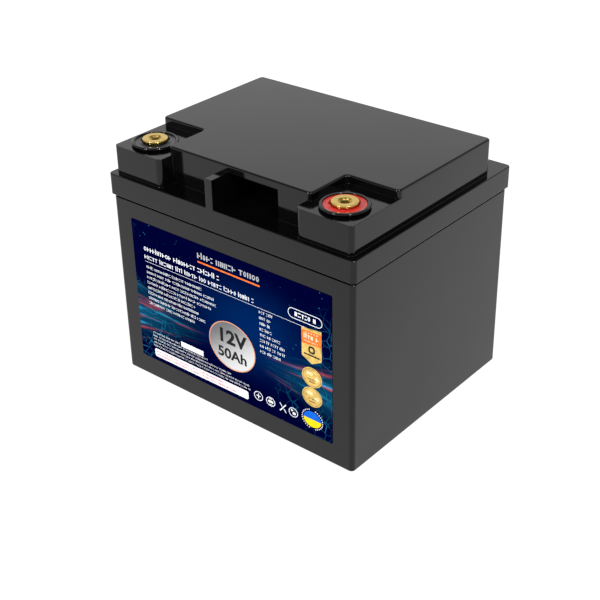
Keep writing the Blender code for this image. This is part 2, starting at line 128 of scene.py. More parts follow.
class BatteryCaseSettings(bpy.types.PropertyGroup):
    """Sizes and colour of the moulded case."""
    corner_radius: FloatProperty(
        name="Corner Radius", description="Radius of the upright corners of the case, mm",
        default=3.0, min=1.0, max=6.0)
    edge_radius: FloatProperty(
        name="Edge Radius", description="Radius along the top edge of the skirt, mm",
        default=0.6, min=0.1, max=1.5)
    top_radius: FloatProperty(
        name="Top Radius", description="Radius round the top of the plateau, mm",
        default=1.3, min=0.2, max=2.5)
    corner_steps: IntProperty(
        name="Corner Steps", description="Number of faces round an upright corner",
        default=8, min=2, max=24)
    plastic_colour: FloatVectorProperty(
        name="Plastic", description="Body colour of the black plastic", subtype="COLOR",
        default=(0.0012, 0.0012, 0.0013), **RGB)
    plastic_gloss: FloatProperty(
        name="Plastic Roughness", description="Roughness of the moulded face",
        subtype="FACTOR", default=0.08, min=0.0, max=1.0)


class BatteryTerminalSettings(bpy.types.PropertyGroup):
    """Colours of the two screw terminals."""
    brass_colour: FloatVectorProperty(
        name="Brass", description="Colour of the turned brass inserts", subtype="COLOR",
        default=(0.66, 0.46, 0.12), **RGB)
    positive_colour: FloatVectorProperty(
        name="Positive Seal", description="Colour of the potting round the positive terminal",
        subtype="COLOR", default=(0.42, 0.012, 0.006), **RGB)
    negative_colour: FloatVectorProperty(
        name="Negative Seal", description="Colour of the potting round the negative terminal",
        subtype="COLOR", default=(0.0015, 0.0015, 0.0016), **RGB)
    turning_steps: IntProperty(
        name="Turning Steps", description="Number of faces round a turned piece",
        default=96, min=24, max=192)


class BatteryLabelSettings(bpy.types.PropertyGroup):
    """Colours of the printed label."""
    navy: FloatVectorProperty(
        name="Navy", description="Dark ground of the label", subtype="COLOR",
        default=(0.0, 0.0005, 0.022), **RGB)
    glow: FloatVectorProperty(
        name="Blue Glow", description="Lighter blue in the middle of the label", subtype="COLOR",
        default=(0.0, 0.014, 0.085), **RGB)
    cyan: FloatVectorProperty(
        name="Cyan Light", description="Colour of the cool streaks and stars", subtype="COLOR",
        default=(0.02, 0.34, 0.62), **RGB)
    ember: FloatVectorProperty(
        name="Red Light", description="Colour of the warm streaks", subtype="COLOR",
        default=(0.62, 0.05, 0.035), **RGB)
    white: FloatVectorProperty(
        name="White Ink", description="Colour of the printed rows", subtype="COLOR",
        default=(0.82, 0.84, 0.88), **RGB)
    orange: FloatVectorProperty(
        name="Orange Ink", description="Colour of the ribbon and the bar", subtype="COLOR",
        default=(0.83, 0.16, 0.02), **RGB)
    gold: FloatVectorProperty(
        name="Gold Ink", description="Colour of the medals", subtype="COLOR",
        default=(0.68, 0.46, 0.13), **RGB)


class BatteryStageSettings(bpy.types.PropertyGroup):
    """Camera and light."""
    camera_azimuth: FloatProperty(
        name="Azimuth", description="Camera's turn round the battery from the label side",
        subtype="ANGLE", unit="ROTATION", default=math.radians(40.11))
    camera_elevation: FloatProperty(
        name="Elevation", description="Camera's height above the horizon",
        subtype="ANGLE", unit="ROTATION", default=math.radians(28.47))
    camera_roll: FloatProperty(
        name="Roll", description="Camera's turn about its own axis",
        subtype="ANGLE", unit="ROTATION", default=math.radians(-1.06))
    lens: FloatProperty(
        name="Lens", description="Focal length", subtype="DISTANCE_CAMERA",
        default=71.56, min=10.0, max=300.0)
    sky: FloatProperty(
        name="Studio Brightness", description="Brightness of the white studio round the battery",
        default=1.0, min=0.0, max=4.0)


# ---------------------------------------------------------------- shaping helpers

def finished(shape, name, material, replaced=(), weighted=True):
    """Scale a bmesh drawn in millimetres, make it a piece and fix it to the battery."""
    for edge in shape.edges:
        edge.smooth = len(edge.link_faces) == 2 and edge.calc_face_angle(0.0) < CREASE
    bmesh.ops.scale(shape, vec=(MM, MM, MM), verts=shape.verts)
    mesh = bpy.data.meshes.new(name)
    shape.to_mesh(mesh)
    shape.free()
    mesh.shade_smooth()
    piece = bpy.data.objects.new(name, mesh)
    bpy.context.scene.collection.objects.link(piece)
    piece.data.materials.append(material)
    if weighted:
        step = piece.modifiers.new("even_shading", "WEIGHTED_NORMAL")
        step.weight = 100
        step.keep_sharp = True
    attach(piece, BODY)
    if replaced:
        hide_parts(*replaced)
    return piece


def cut(shape, axis, at, only=None):
    """Cut the faces along a plane square to one axis."""
    faces = list(only) if only is not None else shape.faces[:]
    around = set(faces)
    for face in faces:
        around.update(face.edges)
        around.update(face.verts)
    point, normal = Vector(), Vector()
    point[axis], normal[axis] = at, 1.0
    bmesh.ops.bisect_plane(shape, geom=list(around), plane_co=point, plane_no=normal,
                           dist=1e-5)


def shifted(shape, made, move):
    """Move the corners of what an operator has just made."""
    bmesh.ops.translate(shape, vec=move,
                        verts=[item for item in made if isinstance(item, bmesh.types.BMVert)])


def walls_down(shape, bottom, top):
    """Hang walls from the open rim."""
    rim = [edge for edge in shape.edges if edge.is_boundary]
    walls = bmesh.ops.extrude_edge_only(shape, edges=rim)["geom"]
    shifted(shape, walls, (0, 0, bottom - top))


def pull(shape, faces, move, keep=False):
    """Extrude faces and move the new ones. The first ones go, unless they close the piece."""
    made = bmesh.ops.extrude_face_region(shape, geom=faces, use_keep_orig=True)["geom"]
    shifted(shape, made, move)
    if not keep:
        bmesh.ops.delete(shape, geom=faces, context="FACES")
    return [item for item in made if isinstance(item, bmesh.types.BMFace)]


def faces_in(shape, low, high):
    """Faces whose middle lies between two corners."""
    found = []
    for face in shape.faces:
        middle = face.calc_center_median()
        if all(a - NEAR <= m <= b + NEAR for a, m, b in zip(low, middle, high)):
            found.append(face)
    return found


def upright_edges(shape, corners):
    """Upright edges that stand at the given places."""
    found = []
    for edge in shape.edges:
        a, b = (vert.co for vert in edge.verts)
        if abs(a.x - b.x) > NEAR or abs(a.y - b.y) > NEAR:
            continue
        if any(abs(a.x - x) < NEAR and abs(a.y - y) < NEAR for x, y in corners):
            found.append(edge)
    return found


def sharp_edges(shape, z=None):
    """Outer edges where two faces meet at a clear angle, at one height if given."""
    return [edge for edge in shape.edges
            if len(edge.link_faces) == 2 and edge.is_convex
            and edge.calc_face_angle(0.0) > CREASE and (z is None or level_at(edge, z))]


def level_at(item, z):
    """True for an edge or a face that lies at one height."""
    return all(abs(vert.co.z - z) < NEAR for vert in item.verts)


def rounded(shape, edges, radius, steps):
    """Round edges to a radius."""
    if not edges:
        raise RuntimeError("there is no edge to round")
    bmesh.ops.bevel(shape, geom=edges, offset=radius, offset_type="OFFSET", affect="EDGES",
                    segments=steps, profile=0.5, clamp_overlap=True, material=-1)


def joined_flats(shape, kept=()):
    """Join the faces that lie in one plane, but leave level edges at the heights to keep."""
    bmesh.ops.remove_doubles(shape, verts=shape.verts, dist=1e-4)
    for edge in shape.edges:
        on_wall = all(abs(face.normal.z) < 0.1 for face in edge.link_faces)
        edge.seam = on_wall and any(level_at(edge, z) for z in kept)
    bmesh.ops.dissolve_limit(shape, angle_limit=math.radians(0.5), verts=shape.verts,
                             edges=shape.edges, use_dissolve_boundaries=False,
                             delimit={"SEAM"})


def plate(low_x, high_x, low_y, high_y, z):
    """A level rectangle."""
    shape = bmesh.new()
    bmesh.ops.create_grid(shape, x_segments=1, y_segments=1, size=0.5)
    bmesh.ops.scale(shape, vec=(high_x - low_x, high_y - low_y, 1), verts=shape.verts)
    bmesh.ops.translate(shape, vec=((low_x + high_x) / 2, (low_y + high_y) / 2, z),
                        verts=shape.verts)
    return shape


def joined_in(shape, other):
    """Add another bmesh to this one."""
    mesh = bpy.data.meshes.new("passing")
    other.to_mesh(mesh)
    other.free()
    shape.from_mesh(mesh)
    bpy.data.meshes.remove(mesh)


def turned(profile, steps, centre, closed):
    """Turn a profile of (radius, height) points about an upright axis."""
    shape = bmesh.new()
    line = [shape.verts.new((radius, 0.0, height)) for radius, height in profile]
    pairs = list(zip(line, line[1:]))
    if closed:
        pairs.append((line[-1], line[0]))
    edges = [shape.edges.new(pair) for pair in pairs]
    bmesh.ops.spin(shape, geom=line + edges, cent=(0, 0, 0), axis=(0, 0, 1),
                   angle=2 * math.pi, steps=steps, use_merge=True)
    bmesh.ops.remove_doubles(shape, verts=shape.verts, dist=1e-4)
    bmesh.ops.recalc_face_normals(shape, faces=shape.faces)
    bmesh.ops.translate(shape, vec=(centre[0], centre[1], 0.0), verts=shape.verts)
    return shape


def arc(centre, radius, start, end, steps):
    """Points (radius, height) on an arc between two angles in degrees."""
    points = []
    for step in range(steps + 1):
        angle = math.radians(start + (end - start) * step / steps)
        points.append((centre[0] + radius * math.cos(angle),
                       centre[1] + radius * math.sin(angle)))
    return points


# ---------------------------------------------------------------- material helpers

class Finish:
    """A material that is put together from nodes."""

    def __init__(self, name):
        self.material = bpy.data.materials.new(name)
        self.material.use_nodes = True
        self.tree = self.material.node_tree
        self.shader = self.tree.nodes["Principled BSDF"]
        self.place = self.add("ShaderNodeTexCoord").outputs["Object"]

    def add(self, kind, **settings):
        node = self.tree.nodes.new(kind)
        for key, value in settings.items():
            setattr(node, key, value)
        return node

    def feed(self, socket, value):
        """Wire an output to a socket, or set the socket's own value."""
        if isinstance(value, bpy.types.NodeSocket):
            self.tree.links.new(value, socket)
        elif isinstance(value, (tuple, list, Vector)) or hasattr(value, "r"):
            value = tuple(value)
            if socket.type == "RGBA" and len(value) == 3:
                value = (*value, 1.0)
            socket.default_value = value
        else:
            socket.default_value = value

    def sized(self, scale, at=(0, 0, 0), turn=(0, 0, 0), source=None):
        """Object coordinates in other units, stretched, moved and turned."""
        node = self.add("ShaderNodeMapping", vector_type="POINT")
        self.feed(node.inputs["Vector"], source or self.place)
        node.inputs["Scale"].default_value = (scale if isinstance(scale, tuple)
                                              else (scale, scale, scale))
        node.inputs["Location"].default_value = at
        node.inputs["Rotation"].default_value = turn
        return node.outputs["Vector"]

    def noise(self, vector, scale=1.0, detail=3.0, roughness=0.5, distortion=0.0):
        node = self.add("ShaderNodeTexNoise")
        self.feed(node.inputs["Vector"], vector)
        node.inputs["Scale"].default_value = scale
        node.inputs["Detail"].default_value = detail
        node.inputs["Roughness"].default_value = roughness
        node.inputs["Distortion"].default_value = distortion
        return node.outputs["Fac"]

    def cells(self, vector, scale=1.0, feature="F1", randomness=1.0):
        node = self.add("ShaderNodeTexVoronoi", feature=feature)
        self.feed(node.inputs["Vector"], vector)
        node.inputs["Scale"].default_value = scale
        node.inputs["Randomness"].default_value = randomness
        return node.outputs["Distance"]

    def wave(self, vector, scale=1.0, kind="BANDS", direction="X", distortion=0.0):
        node = self.add("ShaderNodeTexWave", wave_type=kind)
        if kind == "BANDS":
            node.bands_direction = direction
        else:
            node.rings_direction = direction
        self.feed(node.inputs["Vector"], vector)
        node.inputs["Scale"].default_value = scale
        node.inputs["Distortion"].default_value = distortion
        return node.outputs["Fac"]

    def sums(self, operation, *values):
        """Work with one or two values."""
        node = self.add("ShaderNodeMath", operation=operation)
        for socket, value in zip(node.inputs, values):
            self.feed(socket, value)
        return node.outputs["Value"]

    def spread(self, value, low, high, to_low=0.0, to_high=1.0, smooth=False):
        """Map one range of values to another."""
        node = self.add("ShaderNodeMapRange",
                        interpolation_type="SMOOTHSTEP" if smooth else "LINEAR")
        for socket, item in zip(node.inputs, (value, low, high, to_low, to_high)):
            self.feed(socket, item)
        return node.outputs["Result"]

    def blend(self, amount, first, second):
        """Mix two colours."""
        node = self.add("ShaderNodeMix", data_type="RGBA")
        for name, value in (("Factor_Float", amount), ("A_Color", first), ("B_Color", second)):
            socket = next(item for item in node.inputs if item.identifier == name)
            self.feed(socket, value)
        return next(item for item in node.outputs if item.identifier == "Result_Color")

    def mottled(self, amount, low, high, colour, darker, lighter):
        """A colour that a pattern takes from a darker to a lighter tone."""
        return self.blend(self.spread(amount, low, high), shade(colour, darker),
                          shade(colour, lighter))

    def joined(self, x, y):
        """A flat vector from two values."""
        node = self.add("ShaderNodeCombineXYZ")
        self.feed(node.inputs["X"], x)
        self.feed(node.inputs["Y"], y)
        return node.outputs["Vector"]

    def across_and_up(self):
        """How far a place lies across and up the front, in millimetres."""
        node = self.add("ShaderNodeSeparateXYZ")
        self.feed(node.inputs["Vector"], self.sized(PER_M))
        return node.outputs["X"], node.outputs["Z"]

    def rough_surface(self, height, distance, strength=1.0, after=None):
        node = self.add("ShaderNodeBump")
        node.inputs["Strength"].default_value = strength
        node.inputs["Distance"].default_value = distance
        self.feed(node.inputs["Height"], height)
        if after is not None:
            self.feed(node.inputs["Normal"], after)
        return node.outputs["Normal"]

    def done(self, colour=None, roughness=None, normal=None, **uniform):
        """Wire the shader. Uniform values go on its own sockets."""
        for socket, value in (("Base Color", colour), ("Roughness", roughness),
                              ("Normal", normal)):
            if value is not None:
                self.feed(self.shader.inputs[socket], value)
        for socket, value in uniform.items():
            self.feed(self.shader.inputs[socket.replace("_", " ")], value)
        return self.material


def shade(colour, factor):
    """A lighter or darker version of a colour."""
    return tuple(min(1.0, channel * factor) for channel in colour)


EDGE_SOFTNESS = 0.45           # mm that moulded edges and inner corners look rounded by


def moulded_plastic(name, colour, gloss, grain=1.0):
    """Black plastic with a fine moulded grain, faint flow marks and handling marks."""
    look = Finish(name)
    millimetres = look.sized(PER_M)
    cloud = look.noise(millimetres, scale=0.045, detail=4.0)
    grain_height = look.noise(millimetres, scale=3.4, detail=2.0, roughness=0.6)
    flow = look.noise(look.sized((PER_M, PER_M, 260.0)), scale=0.02, detail=2.0)
    rubbed = look.noise(look.sized((PER_M, 240.0, PER_M)), scale=0.35, detail=5.0,
                        roughness=0.65)
    tint = look.mottled(cloud, 0.35, 0.7, colour, 0.8, 1.6)
    dust = look.spread(look.noise(millimetres, scale=1.1, detail=6.0, roughness=0.7),
                       0.66, 0.8, 0.0, 0.006)
    tint = look.blend(dust, tint, (0.35, 0.35, 0.36))
    sheen = look.sums("ADD", look.spread(cloud, 0.3, 0.7, gloss - 0.02, gloss + 0.02),
                      look.spread(rubbed, 0.5, 0.75, 0.0, 0.04))
    soft_edge = look.add("ShaderNodeBevel", samples=6)
    soft_edge.inputs["Radius"].default_value = EDGE_SOFTNESS * MM
    fine = look.rough_surface(grain_height, 0.000012 * grain, 0.5,
                              after=soft_edge.outputs["Normal"])
    wavy = look.rough_surface(flow, 0.00025, 0.35, after=fine)
    return look.done(tint, sheen, wavy, IOR=1.365)


def turned_metal(name, colour, centre):
    """Machined metal with rings from the lathe and slight tarnish."""
    look = Finish(name)
    around = look.sized(PER_M, at=(-centre[0], -centre[1], 0.0))
    rings = look.wave(around, scale=1.6, kind="RINGS", direction="Z", distortion=0.4)
    cloud = look.noise(around, scale=0.35, detail=5.0)
    speck = look.noise(around, scale=4.0, detail=3.0)
    tarnish = look.spread(cloud, 0.4, 0.7, 0.0, 0.35)
    tint = look.blend(tarnish, colour, shade(colour, 0.55))
    tint = look.blend(look.spread(speck, 0.62, 0.72, 0.0, 0.25), tint, shade(colour, 1.25))
    gloss = look.spread(look.sums("ADD", rings, cloud), 0.5, 1.5, 0.17, 0.35)
    bump = look.rough_surface(rings, 0.00002, 0.35)
    bump = look.rough_surface(speck, 0.00001, 0.3, after=bump)
    return look.done(tint, gloss, bump, Metallic=1.0)


def potting(name, colour):
    """Glossy cast resin with a slightly uneven skin and a few small bubbles."""
    look = Finish(name)
    millimetres = look.sized(PER_M)
    cloud = look.noise(millimetres, scale=0.3, detail=3.0)
    bubbles = look.cells(millimetres, scale=0.9)
    tint = look.mottled(cloud, 0.3, 0.7, colour, 0.75, 1.2)
    gloss = look.spread(cloud, 0.3, 0.7, 0.04, 0.09)
    bump = look.rough_surface(cloud, 0.0002, 0.5)
    bump = look.rough_surface(look.spread(bubbles, 0.0, 0.12), 0.00005, 0.3, after=bump)
    return look.done(tint, gloss, bump, IOR=1.42)


# ---------------------------------------------------------------- container

def container_shape(case):
    """An open box: walls, a rim set back under the lid, and a rounded foot."""
    groove = SEAM_Z - SKIRT_GAP - GROOVE_HEIGHT
    shape = plate(-CASE_X, CASE_X, -CASE_Y, CASE_Y, 0.0)
    pull(shape, shape.faces[:], (0, 0, groove), keep=True)
    rounded(shape, upright_edges(shape, [(sx * CASE_X, sy * CASE_Y)
                                         for sx in (-1, 1) for sy in (-1, 1)]),
            case.corner_radius, case.corner_steps)
    top = faces_in(shape, (-1, -1, groove), (1, 1, groove))
    bmesh.ops.inset_region(shape, faces=top, thickness=RIM_STEP, use_even_offset=True)
    top = pull(shape, top, (0, 0, CASE_HIGH.z - groove))
    bmesh.ops.inset_region(shape, faces=top, thickness=CASE_WALL - RIM_STEP,
                           use_even_offset=True)
    pull(shape, top, (0, 0, BASE_THICKNESS - CASE_HIGH.z))
    bmesh.ops.recalc_face_normals(shape, faces=shape.faces)
    rounded(shape, sharp_edges(shape, 0.0), FOOT_RADIUS, 4)
    rounded(shape, sharp_edges(shape, groove), GROOVE_RADIUS, 2)
    return shape


class BATTERY_OT_container(bpy.types.Operator):
    """Build the open container that holds the cells"""
    bl_idname = "battery.container"
    bl_label = "Container"

    def execute(self, context):
        case = context.scene.battery_case
        plastic = moulded_plastic("container_plastic", case.plastic_colour, case.plastic_gloss)
        finished(container_shape(case), "battery_container", plastic,
                 replaced=("container",))
        return {"FINISHED"}


# ---------------------------------------------------------------- lid

def lid_outside(case):
    """The outer face of the lid, open underneath."""
    shape = plate(-SKIRT_X, SKIRT_X, -SKIRT_Y, SKIRT_Y, LEDGE_Z)
    for x in (-UPPER_X, -NOTCH_X, -BLOCK_INNER_X, *STRUT_X, POCKET_X[1], BLOCK_INNER_X,
              NOTCH_X, UPPER_X):
        cut(shape, 0, x)
    for y in (BLOCK_FRONT, PLATEAU_FRONT, NOTCH_Y, UPPER_BACK):
        cut(shape, 1, y)
    walls_down(shape, SEAM_Z, LEDGE_Z)

    def level(low_x, high_x, low_y, high_y, z):
        return faces_in(shape, (low_x, low_y, z), (high_x, high_y, z))

    # The blocks and the plateau rise together, then the plateau alone
    inner = BLOCK_INNER_X
    raised = (level(-UPPER_X, UPPER_X, PLATEAU_FRONT, UPPER_BACK, LEDGE_Z)
              + level(-UPPER_X, -inner, BLOCK_FRONT, PLATEAU_FRONT, LEDGE_Z)
              + level(inner, UPPER_X, BLOCK_FRONT, PLATEAU_FRONT, LEDGE_Z))
    pull(shape, raised, (0, 0, BLOCK_TOP - LEDGE_Z))
    raised = (level(-UPPER_X, UPPER_X, NOTCH_Y, UPPER_BACK, BLOCK_TOP)
              + level(-NOTCH_X, NOTCH_X, PLATEAU_FRONT, NOTCH_Y, BLOCK_TOP))
    pull(shape, raised, (0, 0, TOP_Z - BLOCK_TOP))

    # The pocket goes in under its lip, and the rib beside it comes forward
    cut(shape, 2, LIP_Z, only=faces_in(shape, (STRUT_X[0], PLATEAU_FRONT, LEDGE_Z),
                                       (POCKET_X[1], PLATEAU_FRONT, TOP_Z)))
    pocket = faces_in(shape, (POCKET_X[0], PLATEAU_FRONT, LEDGE_Z),
                      (POCKET_X[1], PLATEAU_FRONT, LIP_Z))
    pull(shape, pocket, (0, POCKET_BACK - PLATEAU_FRONT, 0))
    rib = level(*STRUT_X, -SKIRT_Y, PLATEAU_FRONT, LEDGE_Z)
    rib = pull(shape, rib, (0, 0, BLOCK_TOP - LEDGE_Z))
    pull(shape, rib, (0, 0, LIP_Z - BLOCK_TOP))
    hidden = faces_in(shape, (STRUT_X[0], PLATEAU_FRONT, LEDGE_Z),
                      (STRUT_X[1], PLATEAU_FRONT, LIP_Z))
    bmesh.ops.delete(shape, geom=hidden, context="FACES")
    joined_flats(shape, kept=(BLOCK_TOP,))

    def corners(*places):
        return upright_edges(shape, [(sx * x, y) for sx in (-1, 1) for x, y in places])

    rounded(shape, corners((SKIRT_X, -SKIRT_Y), (SKIRT_X, SKIRT_Y), (UPPER_X, BLOCK_FRONT),
                           (UPPER_X, UPPER_BACK), (UPPER_X, NOTCH_Y), (NOTCH_X, PLATEAU_FRONT)),
            case.corner_radius, case.corner_steps)
    rounded(shape, corners((inner, BLOCK_FRONT)), BLOCK_INNER_RADIUS, case.corner_steps)
    rounded(shape, corners((NOTCH_X, NOTCH_Y)), NOTCH_RADIUS, 6)
    bmesh.ops.recalc_face_normals(shape, faces=shape.faces)
    rounded(shape, sharp_edges(shape, LEDGE_Z), case.edge_radius, 3)
    rounded(shape, sharp_edges(shape, TOP_Z), case.top_radius, 5)
    return shape


def lid_inside():
    """The hollow underside of the lid, open underneath."""
    wall = LID_WALL
    side = UPPER_X - wall
    back = UPPER_BACK - wall
    notch = NOTCH_Y + wall
    block = BLOCK_INNER_X + wall
    front = PLATEAU_FRONT + wall
    shape = plate(-RIM_X, RIM_X, -RIM_Y, RIM_Y, RIM_TOP)
    for x in (-side, -block, -BLOCK_INNER_X, POCKET_X[0] - wall, POCKET_X[1] + wall,
              BLOCK_INNER_X, block, side):
        cut(shape, 0, x)
    for y in (BLOCK_FRONT + wall, front, POCKET_BACK + wall, notch, back):
        cut(shape, 1, y)
    walls_down(shape, SEAM_Z, RIM_TOP)

    def level(low_x, high_x, low_y, high_y):
        return faces_in(shape, (low_x, low_y, RIM_TOP), (high_x, high_y, RIM_TOP))

    blocks = (level(-side, -block, BLOCK_FRONT + wall, notch)
              + level(block, side, BLOCK_FRONT + wall, notch))
    plateau = (level(-side, side, notch, back)
               + level(-BLOCK_INNER_X, POCKET_X[0] - wall, front, notch)
               + level(POCKET_X[1] + wall, BLOCK_INNER_X, front, notch)
               + level(POCKET_X[0] - wall, POCKET_X[1] + wall, POCKET_BACK + wall, notch))
    pull(shape, blocks, (0, 0, BLOCK_TOP - wall - RIM_TOP))
    pull(shape, plateau, (0, 0, TOP_Z - wall - RIM_TOP))
    joined_flats(shape)
    return shape


def bored(shape, face, centre):
    """Replace a level face with one that has the terminal's hole, and return its edges."""
    outline = face.edges[:]
    z = face.verts[0].co.z
    ring = bmesh.ops.create_circle(shape, cap_ends=False, radius=BORE_R, segments=BORE_STEPS,
                                   matrix=Matrix.Translation((*centre, z)))["verts"]
    hole = list({edge for vert in ring for edge in vert.link_edges})
    bmesh.ops.delete(shape, geom=[face], context="FACES_ONLY")
    bmesh.ops.triangle_fill(shape, use_beauty=True, use_dissolve=False,
                            edges=outline + hole, normal=(0, 0, 1))
    return hole


def widest_face_at(shape, z, side):
    """The largest level face at a height, on one side of the middle."""
    level = [face for face in shape.faces
             if level_at(face, z) and face.calc_center_median().x * side > 0]
    return max(level, key=lambda face: face.calc_area())


def lid_shape(case):
    """The lid as one closed moulding with its two terminal holes."""
    shape = lid_outside(case)
    joined_in(shape, lid_inside())
    for side in (-1, 1):
        centre = (side * TERMINAL_X, TERMINAL_Y)
        upper = bored(shape, widest_face_at(shape, BLOCK_TOP, side), centre)
        lower = bored(shape, widest_face_at(shape, BLOCK_TOP - LID_WALL, side), centre)
        bmesh.ops.bridge_loops(shape, edges=upper + lower)
    open_edges = [edge for edge in shape.edges if edge.is_boundary]
    inner = list({vert for edge in open_edges for vert in edge.verts
                  if abs(vert.co.x) < RIM_X + NEAR and abs(vert.co.y) < RIM_Y + NEAR})
    bmesh.ops.translate(shape, vec=(0, 0, BRIDGE_LIFT), verts=inner)
    bmesh.ops.bridge_loops(shape, edges=open_edges)
    bmesh.ops.translate(shape, vec=(0, 0, -BRIDGE_LIFT), verts=inner)
    bmesh.ops.recalc_face_normals(shape, faces=shape.faces)
    return shape


class BATTERY_OT_lid(bpy.types.Operator):
    """Build the lid with its plateau, terminal blocks, front pocket and rib"""
    bl_idname = "battery.lid"
    bl_label = "Lid"

    def execute(self, context):
        case = context.scene.battery_case
        plastic = moulded_plastic("lid_plastic", case.plastic_colour, case.plastic_gloss)
        finished(lid_shape(case), "battery_lid", plastic, replaced=("lid",))
        return {"FINISHED"}


# ---------------------------------------------------------------- terminals

def insert_profile():
    """Brass insert from the bottom of its stem, over the flange and down the thread."""
    profile = [(0.0, 151.0), (4.7, 151.0), (5.2, 151.5), (5.2, 164.8), (7.8, 164.8),
               (8.1, 165.1)]
    profile += arc((7.5, 167.8), 0.6, 0.0, 90.0, 4)
    profile += [(4.35, 168.4), (4.2, 168.3), (3.3, 167.3)]
    z = 167.3
    while z - THREAD_PITCH > 155.2:
        profile += [(3.3, z - 0.1), (2.75, z - 0.45), (2.75, z - 0.6), (3.3, z - 0.95)]
        z -= THREAD_PITCH
    profile += [(2.9, 155.0), (0.0, 155.0)]
    return profile


def collar_profile():
    """Round ring that holds the potting: a rounded brow over a slightly drawn-in foot."""
    profile = [(12.9, 164.8), (13.9, 164.8), (14.0, 165.1)]
    profile += arc((14.1, 166.0), 0.9, -40.0, 90.0, 10)
    profile += arc((13.3, 166.5), 0.4, 90.0, 180.0, 4)
    return profile


def seal_profile():
    """Cast potting that creeps up the metal and the ring."""
    profile = [(8.5, 164.8), (12.6, 164.8), (12.6, 166.3)]
    for step in range(1, 12):
        share = step / 12.0
        dip = 0.75 * math.sin(math.pi * share) ** 0.6
        profile.append((12.6 - 4.1 * share, 166.3 - dip + 0.35 * share))
    profile.append((8.5, 166.65))
    return profile


class BATTERY_OT_terminals(bpy.types.Operator):
    """Build the two threaded terminals with their rings and potting"""
    bl_idname = "battery.terminals"
    bl_label = "Terminals"

    def execute(self, context):
        case = context.scene.battery_case
        own = context.scene.battery_terminals
        steps = own.turning_steps
        ring_plastic = moulded_plastic("collar_plastic", case.plastic_colour,
                                       case.plastic_gloss, grain=0.4)
        for side, word, colour, epoxy in (
                (-1, "negative", own.negative_colour, "black_epoxy"),
                (1, "positive", own.positive_colour, "red_epoxy")):
            centre = (side * TERMINAL_X, TERMINAL_Y)
            brass = turned_metal(f"{word}_brass", own.brass_colour, centre)
            resin = potting(f"{word}_potting", colour)
            for part, profile, closed, finish, slot in (
                    ("insert", insert_profile(), False, brass, "terminal_brass"),
                    ("collar", collar_profile(), True, ring_plastic, "case_plastic"),
                    ("seal", seal_profile(), True, resin, epoxy)):
                finished(turned(profile, steps, centre, closed), f"{word}_{part}", finish,
                         replaced=(f"{word}_terminal_{part}",))
        return {"FINISHED"}


# ---------------------------------------------------------------- label

LABEL_BACK_Y = -81.12
LABEL_SKIN_Y = -81.42          # front of the label film
INK_DEPTH = 0.03
PRINT_Y = -81.44               # where the first ink lies
OVERPRINT_Y = PRINT_Y - INK_DEPTH
DISC = (2.0, 53.2, 19.6, 17.5)         # middle across and up, half width and half height
MEDALS = ((66.7, 56.9), (66.7, 42.8))  # their middles, across and up
STAR_RING = (66.6, 26.3)               # its middle, across and up
BADGE_X = (59.2, 74.3)
# Columns of printed rows: left end, foot of the first row, step from row to row, height,
# weight, marks in a word, first seed, and where each row ends
COLUMNS = (
    (-71.3, 85.2, 3.84, 1.7, 0.19, (4, 12), 20,
     (-19.6, -10.5, -8.0, -13.2, -28.1, -24.9, -19.8, -29.6)),
    (26.0, 86.6, 4.0, 1.8, 0.20, (2, 4), 40, (38.0, 35.7, 35.6, 37.9, 44.2, 47.5, 47.5, 43.4)),
    (-70.1, 36.3, 2.55, 1.1, 0.17, (3, 9), 70, (-45.4, -20.3, 0.6, 16.1, 17.1)),
)
FIGURE_WIDENING = 1.12
FIGURE_HEIGHT = 1.42                   # type size that gives figures one unit high


